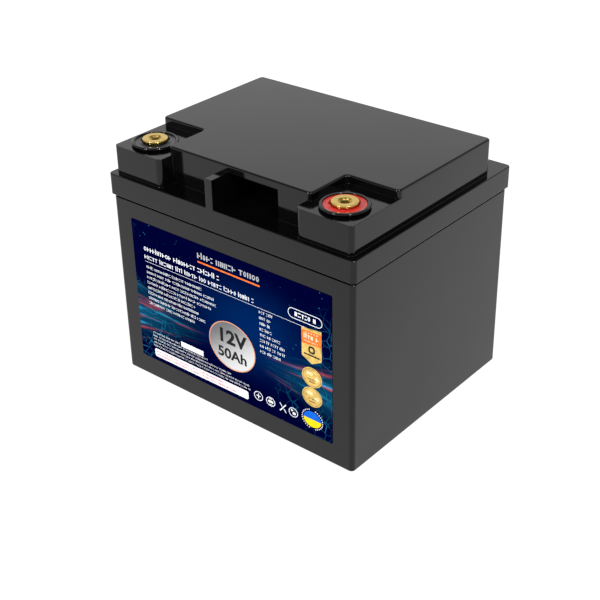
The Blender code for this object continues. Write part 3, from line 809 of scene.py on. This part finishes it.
def label_ground(name, own):
    """Navy print with a soft blue glow, streaks of light, linked points and stars."""
    look = Finish(name)
    millimetres = look.sized(PER_M)
    x, z = look.across_and_up()
    sheet = look.joined(x, z)

    across = look.sums("SUBTRACT", x, DISC[0])
    up = look.sums("SUBTRACT", z, DISC[1] - 1.0)
    far = look.sums("ABSOLUTE", across)
    ends = look.spread(far, 16.0, 82.0, 0.0, 1.0, smooth=True)

    glow_far = look.sums("SQRT", look.sums(
        "ADD", look.sums("POWER", look.sums("DIVIDE", look.sums("SUBTRACT", x, 18.0), 62.0), 2.0),
        look.sums("POWER", look.sums("DIVIDE", look.sums("SUBTRACT", z, 72.0), 40.0), 2.0)))
    ground = look.blend(look.spread(glow_far, 0.0, 1.15, 1.0, 0.0, smooth=True),
                        tuple(own.navy), tuple(own.glow))

    slope = look.sums("DIVIDE", up, look.sums("ADD", far, 12.0))
    side_shift = look.sums("MULTIPLY", look.sums("SIGN", across), 3.7)
    ray = look.joined(look.sums("MULTIPLY", slope, 16.0),
                      look.sums("ADD", side_shift, look.sums("MULTIPLY", far, 0.012)))
    cool = look.noise(ray, scale=1.25, detail=5.0, roughness=0.66)
    warm_at = look.sized(1.0, at=(5.3, 2.1, 0.0), source=ray)
    warm = look.noise(warm_at, scale=1.0, detail=4.0, roughness=0.64)
    fan = look.spread(look.sums("ABSOLUTE", look.sums("ADD", slope, 0.02)), 0.02, 0.27,
                      1.0, 0.0, smooth=True)
    reach = look.sums("MULTIPLY", fan, ends)
    cool_light = look.sums("MULTIPLY", look.spread(cool, 0.50, 0.72, 0.0, 1.0, smooth=True),
                           reach)
    warm_light = look.sums("MULTIPLY", look.spread(warm, 0.54, 0.72, 0.0, 1.0, smooth=True),
                           reach)
    wash = look.sums("MULTIPLY", reach, 0.34)
    ground = look.blend(wash, ground, shade(own.cyan, 0.33))
    ground = look.blend(look.sums("MULTIPLY", warm_light, 0.9), ground, tuple(own.ember))
    ground = look.blend(look.sums("MULTIPLY", cool_light, 0.9), ground, tuple(own.cyan))

    web = look.cells(sheet, scale=0.16, feature="DISTANCE_TO_EDGE")
    web_line = look.spread(web, 0.0, 0.022, 1.0, 0.0)
    patchy = look.spread(look.noise(sheet, scale=0.045, detail=1.0), 0.48, 0.62, 0.0, 1.0)
    near_streaks = look.spread(look.sums("ABSOLUTE", slope), 0.2, 0.75, 1.0, 0.0, smooth=True)
    web_line = look.sums("MULTIPLY", look.sums("MULTIPLY", web_line, patchy),
                         look.sums("MULTIPLY", near_streaks, ends))
    ground = look.blend(look.sums("MULTIPLY", web_line, 0.55), ground, shade(own.cyan, 1.1))
    stars = look.cells(sheet, scale=0.34)
    star = look.sums("MULTIPLY", look.spread(stars, 0.05, 0.14, 1.0, 0.0),
                     look.spread(look.noise(sheet, scale=0.13, detail=0.0), 0.56, 0.6))
    star = look.sums("MULTIPLY", star, ends)
    ground = look.blend(look.sums("MULTIPLY", star, 0.7), ground, (0.06, 0.42, 0.55))

    grain = look.noise(millimetres, scale=6.0, detail=2.0)
    gloss = look.spread(look.noise(millimetres, scale=0.06, detail=3.0), 0.3, 0.7, 0.24, 0.36)
    bump = look.rough_surface(grain, 0.000006, 0.3)
    look.shader.inputs["Specular IOR Level"].default_value = 0.0
    return look.done(ground, gloss, bump)


def ink(name, colour, metallic=0.0, roughness=0.34, variation=0.12):
    """Printed ink: slight change of density and the fine dots of the press."""
    look = Finish(name)
    millimetres = look.sized(PER_M)
    cloud = look.noise(millimetres, scale=0.4, detail=3.0)
    dots = look.cells(millimetres, scale=3.2, randomness=0.15)
    tint = look.mottled(cloud, 0.3, 0.7, colour, 1.0 - variation, 1.0 + variation)
    tint = look.blend(look.spread(dots, 0.42, 0.6, 0.0, 0.12), tint, shade(colour, 0.6))
    gloss = look.spread(cloud, 0.3, 0.7, roughness - 0.06, roughness + 0.06)
    bump = look.rough_surface(dots, 0.000004, 0.3)
    look.shader.inputs["Specular IOR Level"].default_value = 0.08
    return look.done(tint, gloss, bump, Metallic=metallic)


def disc_print(name):
    """Brushed silver print, darker at its upper left."""
    look = Finish(name)
    x, z = look.across_and_up()
    slope = look.sums("ADD", look.sums("MULTIPLY", look.sums("SUBTRACT", x, DISC[0]), 0.55),
                      look.sums("MULTIPLY", look.sums("SUBTRACT", DISC[1], z), 0.85))
    brushed = look.noise(look.sized((60.0, PER_M, 3000.0)), scale=1.0, detail=3.0)
    sweep = look.spread(look.sums("ADD", slope, look.spread(brushed, 0.3, 0.7, -1.4, 1.4)),
                        -17.0, 17.0, 0.0, 1.0, smooth=True)
    tint = look.blend(sweep, (0.13, 0.13, 0.135), (0.60, 0.60, 0.60))
    gloss = look.spread(brushed, 0.3, 0.7, 0.3, 0.42)
    bump = look.rough_surface(brushed, 0.000006, 0.3)
    look.shader.inputs["Specular IOR Level"].default_value = 0.1
    return look.done(tint, gloss, bump)


class Print:
    """Marks of one colour, gathered in one thin mesh just in front of the label."""

    def __init__(self, front=PRINT_Y):
        self.shape = bmesh.new()
        self.back = front + INK_DEPTH

    def corners(self, points):
        return [self.shape.verts.new((x, self.back, z)) for x, z in points]

    def outline(self, points):
        """A flat patch through (x, z) points, given thickness at the end."""
        self.shape.faces.new(self.corners(points))

    def box(self, x, z, width, height):
        """A bar with square corners, from its lower left corner."""
        self.outline([(x, z), (x + width, z), (x + width, z + height), (x, z + height)])

    def pill(self, x, z, width, height, radius=None):
        """A bar with round ends, from its lower left corner."""
        self.outline(pill_points(x, z, width, height, radius))

    def band(self, outer, inner):
        """A closed ribbon between two outlines with equal numbers of points."""
        outside, inside = self.corners(outer), self.corners(inner)
        for i in range(len(outside)):
            j = (i + 1) % len(outside)
            self.shape.faces.new((outside[i], outside[j], inside[j], inside[i]))

    def done(self, name, material):
        """Make the marks one piece of the label."""
        bmesh.ops.recalc_face_normals(self.shape, faces=self.shape.faces)
        thickened(self.shape, INK_DEPTH)
        finished(self.shape, name, material, weighted=False)

    def inked(self, word, colour, **finish):
        """Make the marks a piece that is named after its ink."""
        self.done(f"label_{word}_print", ink(f"{word}_ink", colour, **finish))


def thickened(shape, depth):
    """Give flat faces a thickness, from their back towards the front."""
    for face in shape.faces:
        if face.normal.y > 0:
            face.normal_flip()
    pull(shape, shape.faces[:], (0, -depth, 0), keep=True)
    bmesh.ops.recalc_face_normals(shape, faces=shape.faces)


def pill_points(x, z, width, height, radius=None, steps=6):
    """Outline of a bar with rounded corners."""
    radius = height / 2 if radius is None else radius
    radius = min(radius, height / 2 - 0.001, width / 2 - 0.001)
    points = []
    for quarter, (cx, cz) in enumerate(((x + width - radius, z + height - radius),
                                        (x + radius, z + height - radius),
                                        (x + radius, z + radius),
                                        (x + width - radius, z + radius))):
        for step in range(steps + 1):
            angle = math.pi / 2 * (quarter + step / steps)
            points.append((cx + radius * math.cos(angle), cz + radius * math.sin(angle)))
    return points


def oval_points(x, z, half_x, half_z, steps=48):
    """Outline of an oval."""
    return [(x + half_x * math.cos(2 * math.pi * i / steps),
             z + half_z * math.sin(2 * math.pi * i / steps)) for i in range(steps)]


def greeked(ink_on, x, z, width, height, seed, weight=0.3, words=(3, 9)):
    """A row of plain letter-sized marks in word-sized groups. They spell nothing."""
    rng = random.Random(seed)
    end = x + width
    stroke = height * weight
    while x < end - height * 0.4:
        for _ in range(rng.randint(*words)):
            wide = height * rng.uniform(0.55, 0.85)
            if x + wide > end:
                return
            kind = rng.randrange(6)
            if kind == 0:
                ink_on.box(x, z, stroke, height * 1.25)
                wide = stroke * 1.1
            elif kind == 1:
                ink_on.box(x, z, stroke, height)
                ink_on.box(x + wide - stroke, z, stroke, height)
            elif kind == 2:
                ink_on.box(x, z, wide, stroke * 0.8)
                ink_on.box(x, z + height - stroke * 0.8, wide, stroke * 0.8)
            elif kind == 3:
                ink_on.band(oval_points(x + wide / 2, z + height / 2, wide / 2, height / 2, 12),
                            oval_points(x + wide / 2, z + height / 2, wide / 2 - stroke * 0.8,
                                        height / 2 - stroke * 0.8, 12))
            elif kind == 4:
                ink_on.box(x, z, stroke, height)
                ink_on.box(x + stroke + 0.02, z + height / 2 - stroke * 0.4, wide - stroke,
                           stroke * 0.8)
            else:
                ink_on.box(x + wide / 2 - stroke / 2, z, stroke, height - stroke)
                ink_on.box(x, z + height - stroke * 0.9, wide, stroke * 0.8)
            x += wide + height * 0.2
        x += height * 0.55


def numerals(text, x, z, height, name, material, bold):
    """Generic figures in Blender's own typeface, centred at a place."""
    curve = bpy.data.curves.new(name, "FONT")
    curve.body = text
    curve.size = height * FIGURE_HEIGHT
    curve.offset = bold
    curve.extrude = 0.0
    curve.align_x = "CENTER"
    source = bpy.data.objects.new(name, curve)
    flat = bpy.data.meshes.new_from_object(source)
    bpy.data.objects.remove(source)
    bpy.data.curves.remove(curve)
    shape = bmesh.new()
    shape.from_mesh(flat)
    bpy.data.meshes.remove(flat)
    bmesh.ops.remove_doubles(shape, verts=shape.verts, dist=1e-5)
    bmesh.ops.rotate(shape, matrix=Matrix.Rotation(math.pi / 2, 3, "X"), verts=shape.verts)
    bmesh.ops.scale(shape, vec=(FIGURE_WIDENING, 1.0, 1.0), verts=shape.verts)
    bmesh.ops.translate(shape, vec=(x, PRINT_Y, z), verts=shape.verts)
    thickened(shape, INK_DEPTH)
    finished(shape, name, material, weighted=False)


class BATTERY_OT_label(bpy.types.Operator):
    """Build the label film and everything printed on it"""
    bl_idname = "battery.label"
    bl_label = "Front Label"

    def execute(self, context):
        own = context.scene.battery_label
        self.film(own)
        self.white_rows(own)
        self.badges(own)
        self.disc()
        return {"FINISHED"}

    def film(self, own):
        shape = bmesh.new()
        size = LABEL_HIGH - LABEL_LOW
        points = pill_points(LABEL_LOW.x, LABEL_LOW.z, size.x, size.z, 0.8, 4)
        shape.faces.new([shape.verts.new((x, LABEL_BACK_Y, z)) for x, z in points])
        thickened(shape, LABEL_BACK_Y - LABEL_SKIN_Y)
        front = [edge for edge in sharp_edges(shape)
                 if all(vert.co.y < LABEL_SKIN_Y + NEAR for vert in edge.verts)]
        rounded(shape, front, 0.08, 2)
        finished(shape, "label_film", label_ground("label_navy_print", own),
                 replaced=("front_label",))

    def white_rows(self, own):
        white = Print()
        greeked(white, -72.2, 97.9, 66.0, 2.9, 11, weight=0.25, words=(7, 11))
        greeked(white, -72.2, 92.0, 94.5, 2.7, 12, weight=0.23, words=(2, 6))
        for x, z, step, height, weight, words, seed, ends in COLUMNS:
            for row, end in enumerate(ends):
                greeked(white, x, z - step * row, end - x, height, seed + row, weight, words)
        # Rule under the heading, frame with its word, block and bar behind the red rows
        white.box(-72.0, 90.05, 145.9, 0.22)
        white.band(pill_points(49.0, 93.1, 26.0, 7.0, steps=8),
                   pill_points(49.45, 93.55, 25.1, 6.1, steps=8))
        greeked(white, 54.2, 95.2, 16.0, 2.9, 61, weight=0.27, words=(5, 5))
        white.box(-44.0, 35.6, 20.2, 3.9)
        white.pill(-69.8, 18.2, 84.2, 6.2, radius=1.6)
        for number, x in enumerate((23.0, 33.1, 43.0, 51.5)):
            self.round_mark(white, x, 24.9, number)
        for step in range(30):
            if step in (7, 8, 22, 23):         # the ring is open at its top and bottom
                continue
            angle = 2 * math.pi * step / 30
            x = STAR_RING[0] + 8.0 * math.cos(angle)
            z = STAR_RING[1] + 6.9 * math.sin(angle)
            white.box(x - 0.35, z - 0.35, 0.7, 0.7)
        white.inked("white", own.white, variation=0.06)

        grey = Print()
        greeked(grey, -23.8, 108.0, 51.2, 3.6, 81, weight=0.26, words=(5, 5))
        grey.inked("grey", (0.42, 0.43, 0.46))

        red = Print(OVERPRINT_Y)
        greeked(red, -68.4, 21.9, 62.0, 1.15, 90, weight=0.26, words=(4, 10))
        greeked(red, -68.4, 19.4, 73.5, 1.15, 91, weight=0.26, words=(4, 10))
        red.inked("red", (0.62, 0.03, 0.03))

    def round_mark(self, ink_on, x, z, number):
        """One of four small plain marks, three of them in a ring."""
        half_x, half_z = 3.7, 3.4
        if number != 2:
            ink_on.band(oval_points(x, z, half_x, half_z, 32),
                        oval_points(x, z, half_x - 0.5, half_z - 0.5, 32))
        if number == 0:
            ink_on.box(x - 0.3, z - 1.8, 0.6, 3.6)
            ink_on.box(x - 1.7, z - 0.2, 1.3, 0.6)
            ink_on.box(x + 0.4, z - 0.2, 1.3, 0.6)
        elif number == 1:
            ink_on.pill(x - 2.2, z - 0.9, 4.4, 1.8)
            ink_on.box(x - 1.2, z - 2.4, 2.4, 0.5)
            ink_on.box(x - 1.2, z + 1.9, 2.4, 0.5)
        elif number == 2:
            ink_on.outline([(x - 2.6, z - 2.9), (x - 2.0, z - 3.3), (x + 2.9, z + 2.7),
                            (x + 2.3, z + 3.1)])
            ink_on.outline([(x - 2.6, z + 2.7), (x - 2.2, z + 3.1), (x - 0.35, z + 0.75),
                            (x - 0.8, z + 0.4)])
            ink_on.outline([(x + 0.7, z - 0.9), (x + 1.1, z - 0.5), (x + 2.9, z - 2.9),
                            (x + 2.4, z - 3.3)])
        else:
            ink_on.pill(x - 0.6, z - 1.6, 2.6, 1.9)
            ink_on.pill(x - 1.9, z + 0.5, 1.7, 1.4)

    def badges(self, own):
        left, right = BADGE_X
        gold = Print()
        gold.outline([(left, 79.0), (left, 70.2), (66.8, 66.4), (right, 70.4), (right, 80.2)])
        gold.outline([(left, 89.9), (left, 88.2), (right, 89.2), (right, 91.2)])
        bronze = Print(OVERPRINT_Y)
        pale_gold = Print(OVERPRINT_Y)
        for x, z in MEDALS:
            gold.outline(oval_points(x, z, 7.7, 6.9))
            bronze.band(oval_points(x, z, 7.0, 6.2), oval_points(x, z, 6.7, 5.9))
            greeked(bronze, 63.4, z - 2.0, 6.6, 1.0, int(z), words=(3, 6))
            bronze.pill(64.2, z - 3.9, 5.0, 0.8)
            pale_gold.pill(62.4, z + 1.2, 5.0, 2.4, radius=1.1)
            pale_gold.outline(oval_points(70.3, z - 0.3, 1.6, 1.4, 20))
        gold.inked("gold", own.gold, metallic=0.35, roughness=0.4, variation=0.28)
        bronze.inked("bronze", (0.22, 0.13, 0.03))
        pale_gold.inked("pale_gold", (0.80, 0.64, 0.34))

        orange = Print()
        orange.outline([(left, 88.2), (left, 79.0), (right, 80.2), (right, 89.2)])
        orange.pill(-23.8, 104.9, 51.2, 1.1)
        orange.inked("orange", own.orange, variation=0.2)
        cream = Print(OVERPRINT_Y)
        greeked(cream, 60.8, 83.0, 12.0, 2.7, 95, words=(4, 4))
        greeked(cream, 61.2, 80.9, 11.0, 0.9, 96, words=(5, 6))
        for step in range(5):
            cream.outline(oval_points(62.6 + 2.1 * step, 87.0 + 0.14 * step, 0.5, 0.45, 8))
        cream.inked("cream", (0.85, 0.62, 0.42))
        black = Print(OVERPRINT_Y)
        black.pill(60.8, 71.7, 12.0, 1.0)
        black.band(pill_points(64.3, 73.6, 5.0, 5.0, radius=1.8),
                   pill_points(65.5, 74.8, 2.6, 2.6, radius=0.8))
        black.inked("black", (0.012, 0.011, 0.01))

        for word, side, colour in (("blue", 1, (0.0, 0.11, 0.62)),
                                   ("yellow", -1, (0.88, 0.62, 0.0))):
            half = Print()
            half.outline([(x, z) for x, z in oval_points(*STAR_RING, 6.9, 5.7, 64)
                          if (z - STAR_RING[1]) * side >= -0.001])
            half.inked(word, colour)

    def disc(self):
        x, z, half_x, half_z = DISC
        rim = Print()
        rim.band(oval_points(x, z, half_x, half_z, 96),
                 oval_points(x, z, half_x - 0.65, half_z - 0.65, 96))
        rim.done("label_disc_rim", ink("rose_gold_ink", (0.70, 0.30, 0.16), roughness=0.4))
        face = Print()
        face.outline(oval_points(x, z, half_x - 0.7, half_z - 0.7, 96))
        face.done("label_disc", disc_print("disc_print"))
        black = ink("figure_ink", (0.006, 0.006, 0.007), variation=0.3)
        numerals("12V", x, z + 1.4, 9.6, "label_voltage_figures", black, bold=0.45)
        numerals("50Ah", x, z - 9.9, 7.2, "label_capacity_figures", black, bold=0.28)


# ---------------------------------------------------------------- insides

def film_wrap(name, colour):
    """Shrink film over a metal cell: glossy, with faint wrinkles."""
    look = Finish(name)
    wrinkle = look.noise(look.sized((PER_M, PER_M, 220.0)), scale=0.12, detail=4.0,
                         distortion=0.6)
    cloud = look.noise(look.sized(PER_M), scale=0.03, detail=3.0)
    tint = look.mottled(cloud, 0.3, 0.7, colour, 0.8, 1.2)
    gloss = look.spread(wrinkle, 0.3, 0.7, 0.22, 0.4)
    return look.done(tint, gloss, look.rough_surface(wrinkle, 0.0003, 0.5))


def brushed_metal(name, colour):
    """Metal brushed along the battery."""
    look = Finish(name)
    lines = look.noise(look.sized((60.0, PER_M, PER_M)), scale=2.5, detail=4.0)
    cloud = look.noise(look.sized(PER_M), scale=0.1, detail=3.0)
    tint = look.mottled(cloud, 0.3, 0.7, colour, 0.82, 1.1)
    gloss = look.spread(lines, 0.3, 0.7, 0.22, 0.42)
    return look.done(tint, gloss, look.rough_surface(lines, 0.00002, 0.4), Metallic=1.0)


def glass_board(name, colour):
    """Glass fibre sheet with its weave showing."""
    look = Finish(name)
    over = look.wave(look.sized(PER_M), scale=0.55, direction="X")
    under = look.wave(look.sized(PER_M), scale=0.55, direction="Z")
    weave = look.sums("MULTIPLY", over, under)
    tint = look.mottled(weave, 0.1, 0.8, colour, 0.82, 1.1)
    gloss = look.spread(weave, 0.0, 1.0, 0.45, 0.62)
    return look.done(tint, gloss, look.rough_surface(weave, 0.00008, 0.5))


def soft_foam(name, colour):
    """Closed cell foam with its pores, painted darker in their sunken middles as shade."""
    look = Finish(name)
    millimetres = look.sized(PER_M)
    pores = look.cells(millimetres, scale=0.8)
    cloud = look.noise(millimetres, scale=0.08, detail=3.0)
    # painted shade: the sunken middle of each pore is painted down to half the foam's tone
    tint = look.mottled(pores, 0.1, 0.7, colour, 0.5, 1.2)
    gloss = look.spread(cloud, 0.3, 0.7, 0.85, 0.97)
    return look.done(tint, gloss, look.rough_surface(pores, 0.0004, 0.6))


def circuit_board(name, colour):
    """Green board with lighter copper tracks and pads under the lacquer."""
    look = Finish(name)
    millimetres = look.sized(PER_M)
    tracks = look.cells(millimetres, scale=0.22, feature="DISTANCE_TO_EDGE",
                        randomness=0.35)
    pads = look.cells(millimetres, scale=0.35, randomness=0.2)
    copper = look.sums("MAXIMUM", look.spread(tracks, 0.05, 0.08, 1.0, 0.0),
                       look.spread(pads, 0.16, 0.2, 1.0, 0.0))
    tint = look.blend(copper, colour, shade(colour, 2.6))
    gloss = look.spread(copper, 0.0, 1.0, 0.34, 0.22)
    return look.done(tint, gloss, look.rough_surface(copper, 0.00004, 0.5))


def woven_strap(name, colour):
    """Polyester strap with ribs across it, painted darker in the grooves between the ribs as
    shade.
    """
    look = Finish(name)
    ribs = look.wave(look.sized(PER_M), scale=0.7, direction="Z")
    cross = look.wave(look.sized(PER_M, turn=(0, 0, math.pi / 4)), scale=0.9, direction="X")
    weave = look.sums("ADD", ribs, look.sums("MULTIPLY", cross, 0.5))
    # painted shade: the low parts of the weave, the grooves between the ribs, are painted darker
    tint = look.mottled(weave, 0.2, 1.3, colour, 0.7, 1.15)
    gloss = look.spread(weave, 0.0, 1.5, 0.5, 0.36)
    return look.done(tint, gloss, look.rough_surface(weave, 0.00015, 0.6))


def wire_jacket(name, colour):
    """Soft insulation with faint marks along it."""
    look = Finish(name)
    marks = look.noise(look.sized(PER_M), scale=1.4, detail=4.0)
    tint = look.mottled(marks, 0.3, 0.7, colour, 0.8, 1.2)
    gloss = look.spread(marks, 0.3, 0.7, 0.3, 0.48)
    return look.done(tint, gloss, look.rough_surface(marks, 0.00003, 0.4))


INSIDE_FINISHES = {
    "cell_film": (film_wrap, (0.012, 0.07, 0.30)),
    "copper": (brushed_metal, (0.78, 0.36, 0.22)),
    "steel": (brushed_metal, (0.58, 0.58, 0.60)),
    "aluminium": (brushed_metal, (0.78, 0.78, 0.80)),
    "fibre_sheet": (glass_board, (0.46, 0.50, 0.30)),
    "foam": (soft_foam, (0.05, 0.05, 0.055)),
    "board": (circuit_board, (0.010, 0.10, 0.04)),
    "strap": (woven_strap, (0.48, 0.48, 0.46)),
    "red_jacket": (wire_jacket, (0.50, 0.02, 0.02)),
    "black_jacket": (wire_jacket, (0.012, 0.012, 0.013)),
    "white_housing": (wire_jacket, (0.72, 0.72, 0.68)),
    "rubber": (wire_jacket, (0.010, 0.010, 0.011)),
}


def inside_finish(node):
    """Which finish an internal node has."""
    exact = {
        "protection_board": "board", "protection_heat_sink": "aluminium",
        "balance_connector": "white_housing", "positive_lead": "red_jacket",
        "negative_lead": "black_jacket", "pack_negative_lead": "black_jacket",
        "sense_lead_1": "black_jacket", "sense_lead_2": "red_jacket",
        "sense_lead_3": "red_jacket",
    }
    if node in exact:
        return exact[node]
    for ending, finish in (("_post", "aluminium"), ("_nut", "steel"), ("_lug", "copper"),
                           ("_o_ring", "rubber"), ("_end_board", "fibre_sheet"),
                           ("_foam_block", "foam")):
        if node.endswith(ending):
            return finish
    for beginning, finish in (("series_link", "aluminium"), ("cell_separator", "fibre_sheet"),
                              ("cell_strap", "strap"), ("cell_", "cell_film")):
        if node.startswith(beginning):
            return finish
    raise ValueError(f"no finish for {node}")


REMADE = {"container", "lid", "front_label"} | {
    f"{word}_terminal_{part}" for word in ("positive", "negative")
    for part in ("insert", "collar", "seal")}


class BATTERY_OT_insides(bpy.types.Operator):
    """Give the cells, links, boards, leads and other inner parts their finishes"""
    bl_idname = "battery.insides"
    bl_label = "Cells and Wiring"

    def execute(self, context):
        made = {}
        for name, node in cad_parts.items():
            if name in REMADE:
                continue
            finish = inside_finish(name)
            if finish not in made:
                recipe, colour = INSIDE_FINISHES[finish]
                made[finish] = recipe(finish, colour)
            if not node.material_slots:
                raise RuntimeError(f"{name} has no material slot")
            for slot in node.material_slots:
                slot.material = made[finish]
        return {"FINISHED"}


# ---------------------------------------------------------------- stage

SKY_DARK = 0.22                # brightness of the studio between the horizon and the zenith
PANEL_AT = (math.radians(-138.0), math.radians(24.0))    # azimuth and elevation
FLOOR_RADIUS = 12.0
FLOOR_DROP = 0.0005            # keeps the floor clear of the underside, m
LAMPS = {"light_left": math.radians(-12.0), "light_right": math.radians(62.0)}
LAMP_ELEVATION = math.radians(40.0)
LAMP_SIZE = 0.22
LAMP_POWER = 15.0
LAMP_DISTANCE = 1.6
AIM = Vector((0, 0, 0.1))      # where the lamps point
CAMERA_PLACE = (0.443617, -0.537951, 0.454263)
CAMERA_SHIFT = -0.0583


def towards(azimuth, elevation):
    """Direction at an azimuth counted from the label side, and an elevation."""
    return Vector((math.sin(azimuth) * math.cos(elevation),
                   -math.cos(azimuth) * math.cos(elevation), math.sin(elevation)))


def studio_world(brightness):
    """White backdrop and horizon, a bright panel behind on the left, darker higher up."""
    world = bpy.data.worlds.new("studio")
    world.use_nodes = True
    tree = world.node_tree
    ground = tree.nodes["Background"]
    ground.inputs["Strength"].default_value = brightness
    place = tree.nodes.new("ShaderNodeTexCoord").outputs["Generated"]

    def node(kind, operation, *values):
        made = tree.nodes.new(kind)
        if operation:
            made.operation = operation
        for socket, value in zip(made.inputs, values):
            if isinstance(value, bpy.types.NodeSocket):
                tree.links.new(value, socket)
            else:
                socket.default_value = value
        return made

    def ramp(value, low, high, first, last):
        made = node("ShaderNodeMapRange", None, value, low, high, first, last)
        made.interpolation_type = "SMOOTHSTEP"
        return made.outputs["Result"]

    panel = node("ShaderNodeVectorMath", "DOT_PRODUCT", place, towards(*PANEL_AT))
    height = node("ShaderNodeSeparateXYZ", None, place).outputs["Z"]
    upper = ramp(height, 0.30, 0.50, 1.0, SKY_DARK)
    zenith = ramp(height, 0.86, 0.98, 0.0, 0.5)
    behind = ramp(panel.outputs["Value"], 0.66, 0.84, 0.0, 1.0)
    light = node("ShaderNodeMath", "MAXIMUM", upper, behind).outputs["Value"]
    light = node("ShaderNodeMath", "MAXIMUM", light, zenith).outputs["Value"]
    tree.links.new(light, ground.inputs["Color"])
    return world


def floor_finish():
    """Pale matt floor that stays close to white."""
    look = Finish("floor_white")
    cloud = look.noise(look.place, scale=1.5, detail=3.0)
    tint = look.blend(look.spread(cloud, 0.3, 0.7), (0.13, 0.13, 0.13), (0.15, 0.15, 0.15))
    look.shader.inputs["Emission Color"].default_value = (1.0, 1.0, 1.0, 1.0)
    look.shader.inputs["Emission Strength"].default_value = 0.98
    look.shader.inputs["Specular IOR Level"].default_value = 0.0
    return look.done(tint, 0.9)


class BATTERY_OT_stage(bpy.types.Operator):
    """Set up the floor, the light and the camera"""
    bl_idname = "battery.stage"
    bl_label = "Stage"

    def execute(self, context):
        own = context.scene.battery_stage
        scene = context.scene
        shape = bmesh.new()
        bmesh.ops.create_circle(shape, cap_ends=True, radius=FLOOR_RADIUS, segments=96)
        mesh = bpy.data.meshes.new("floor")
        shape.to_mesh(mesh)
        shape.free()
        floor = bpy.data.objects.new("floor", mesh)
        floor.location.z = -FLOOR_DROP
        mesh.materials.append(floor_finish())
        scene.collection.objects.link(floor)

        scene.world = studio_world(own.sky)
        for name, azimuth in LAMPS.items():
            self.softbox(scene, name, azimuth)
        self.camera(scene, own)
        scene.view_settings.view_transform = "Standard"
        return {"FINISHED"}

    def softbox(self, scene, name, azimuth):
        """One square lamp aimed at the battery."""
        light = bpy.data.lights.new(name, "AREA")
        light.shape = "SQUARE"
        light.size = LAMP_SIZE
        light.energy = LAMP_POWER
        lamp = bpy.data.objects.new(name, light)
        away = towards(azimuth, LAMP_ELEVATION)
        lamp.location = AIM + away * LAMP_DISTANCE
        lamp.rotation_mode = "QUATERNION"
        lamp.rotation_quaternion = away.to_track_quat("Z", "Y")
        scene.collection.objects.link(lamp)

    def camera(self, scene, own):
        data = bpy.data.cameras.new("camera")
        data.lens = own.lens
        data.sensor_width = 36.0
        data.shift_y = CAMERA_SHIFT
        data.clip_start, data.clip_end = 0.01, 50.0
        camera = bpy.data.objects.new("camera", data)
        azimuth = own.camera_azimuth
        back = towards(azimuth, own.camera_elevation)
        right = Vector((math.cos(azimuth), math.sin(azimuth), 0.0))
        up = back.cross(right)
        tilt = Matrix.Rotation(own.camera_roll, 3, back)
        right, up = tilt @ right, tilt @ up
        place = Matrix((right, up, back)).transposed().to_4x4()
        place.translation = CAMERA_PLACE
        camera.matrix_world = place
        scene.collection.objects.link(camera)
        scene.camera = camera


# ---------------------------------------------------------------- panel and running

OPERATORS = (BATTERY_OT_container, BATTERY_OT_lid, BATTERY_OT_terminals, BATTERY_OT_label,
             BATTERY_OT_insides, BATTERY_OT_stage)
SETTINGS = {
    "battery_case": BatteryCaseSettings,
    "battery_terminals": BatteryTerminalSettings,
    "battery_label": BatteryLabelSettings,
    "battery_stage": BatteryStageSettings,
}


class BATTERY_PT_panel(bpy.types.Panel):
    """Panel that lists the pieces and their settings"""
    bl_label = "Deep Cycle Battery"
    bl_idname = "BATTERY_PT_panel"
    bl_space_type = "VIEW_3D"
    bl_region_type = "UI"
    bl_category = "Battery"

    def draw(self, context):
        layout = self.layout
        for operator in OPERATORS:
            layout.operator(operator.bl_idname, text=operator.bl_label)
        for key in SETTINGS:
            group = getattr(context.scene, key)
            box = layout.box()
            for field in group.bl_rna.properties:
                if field.identifier not in ("rna_type", "name"):
                    box.prop(group, field.identifier)


def register():
    for group in SETTINGS.values():
        bpy.utils.register_class(group)
    for key, group in SETTINGS.items():
        setattr(bpy.types.Scene, key, PointerProperty(type=group))
    for operator in OPERATORS:
        bpy.utils.register_class(operator)
    bpy.utils.register_class(BATTERY_PT_panel)


def unregister():
    bpy.utils.unregister_class(BATTERY_PT_panel)
    for operator in reversed(OPERATORS):
        bpy.utils.unregister_class(operator)
    for key in SETTINGS:
        delattr(bpy.types.Scene, key)
    for group in reversed(list(SETTINGS.values())):
        bpy.utils.unregister_class(group)


def main():
    """Build every piece in order."""
    register()
    bpy.ops.battery.container()
    bpy.ops.battery.lid()
    bpy.ops.battery.terminals()
    bpy.ops.battery.label()
    bpy.ops.battery.insides()
    bpy.ops.battery.stage()


if __name__ == "__main__":
    main()
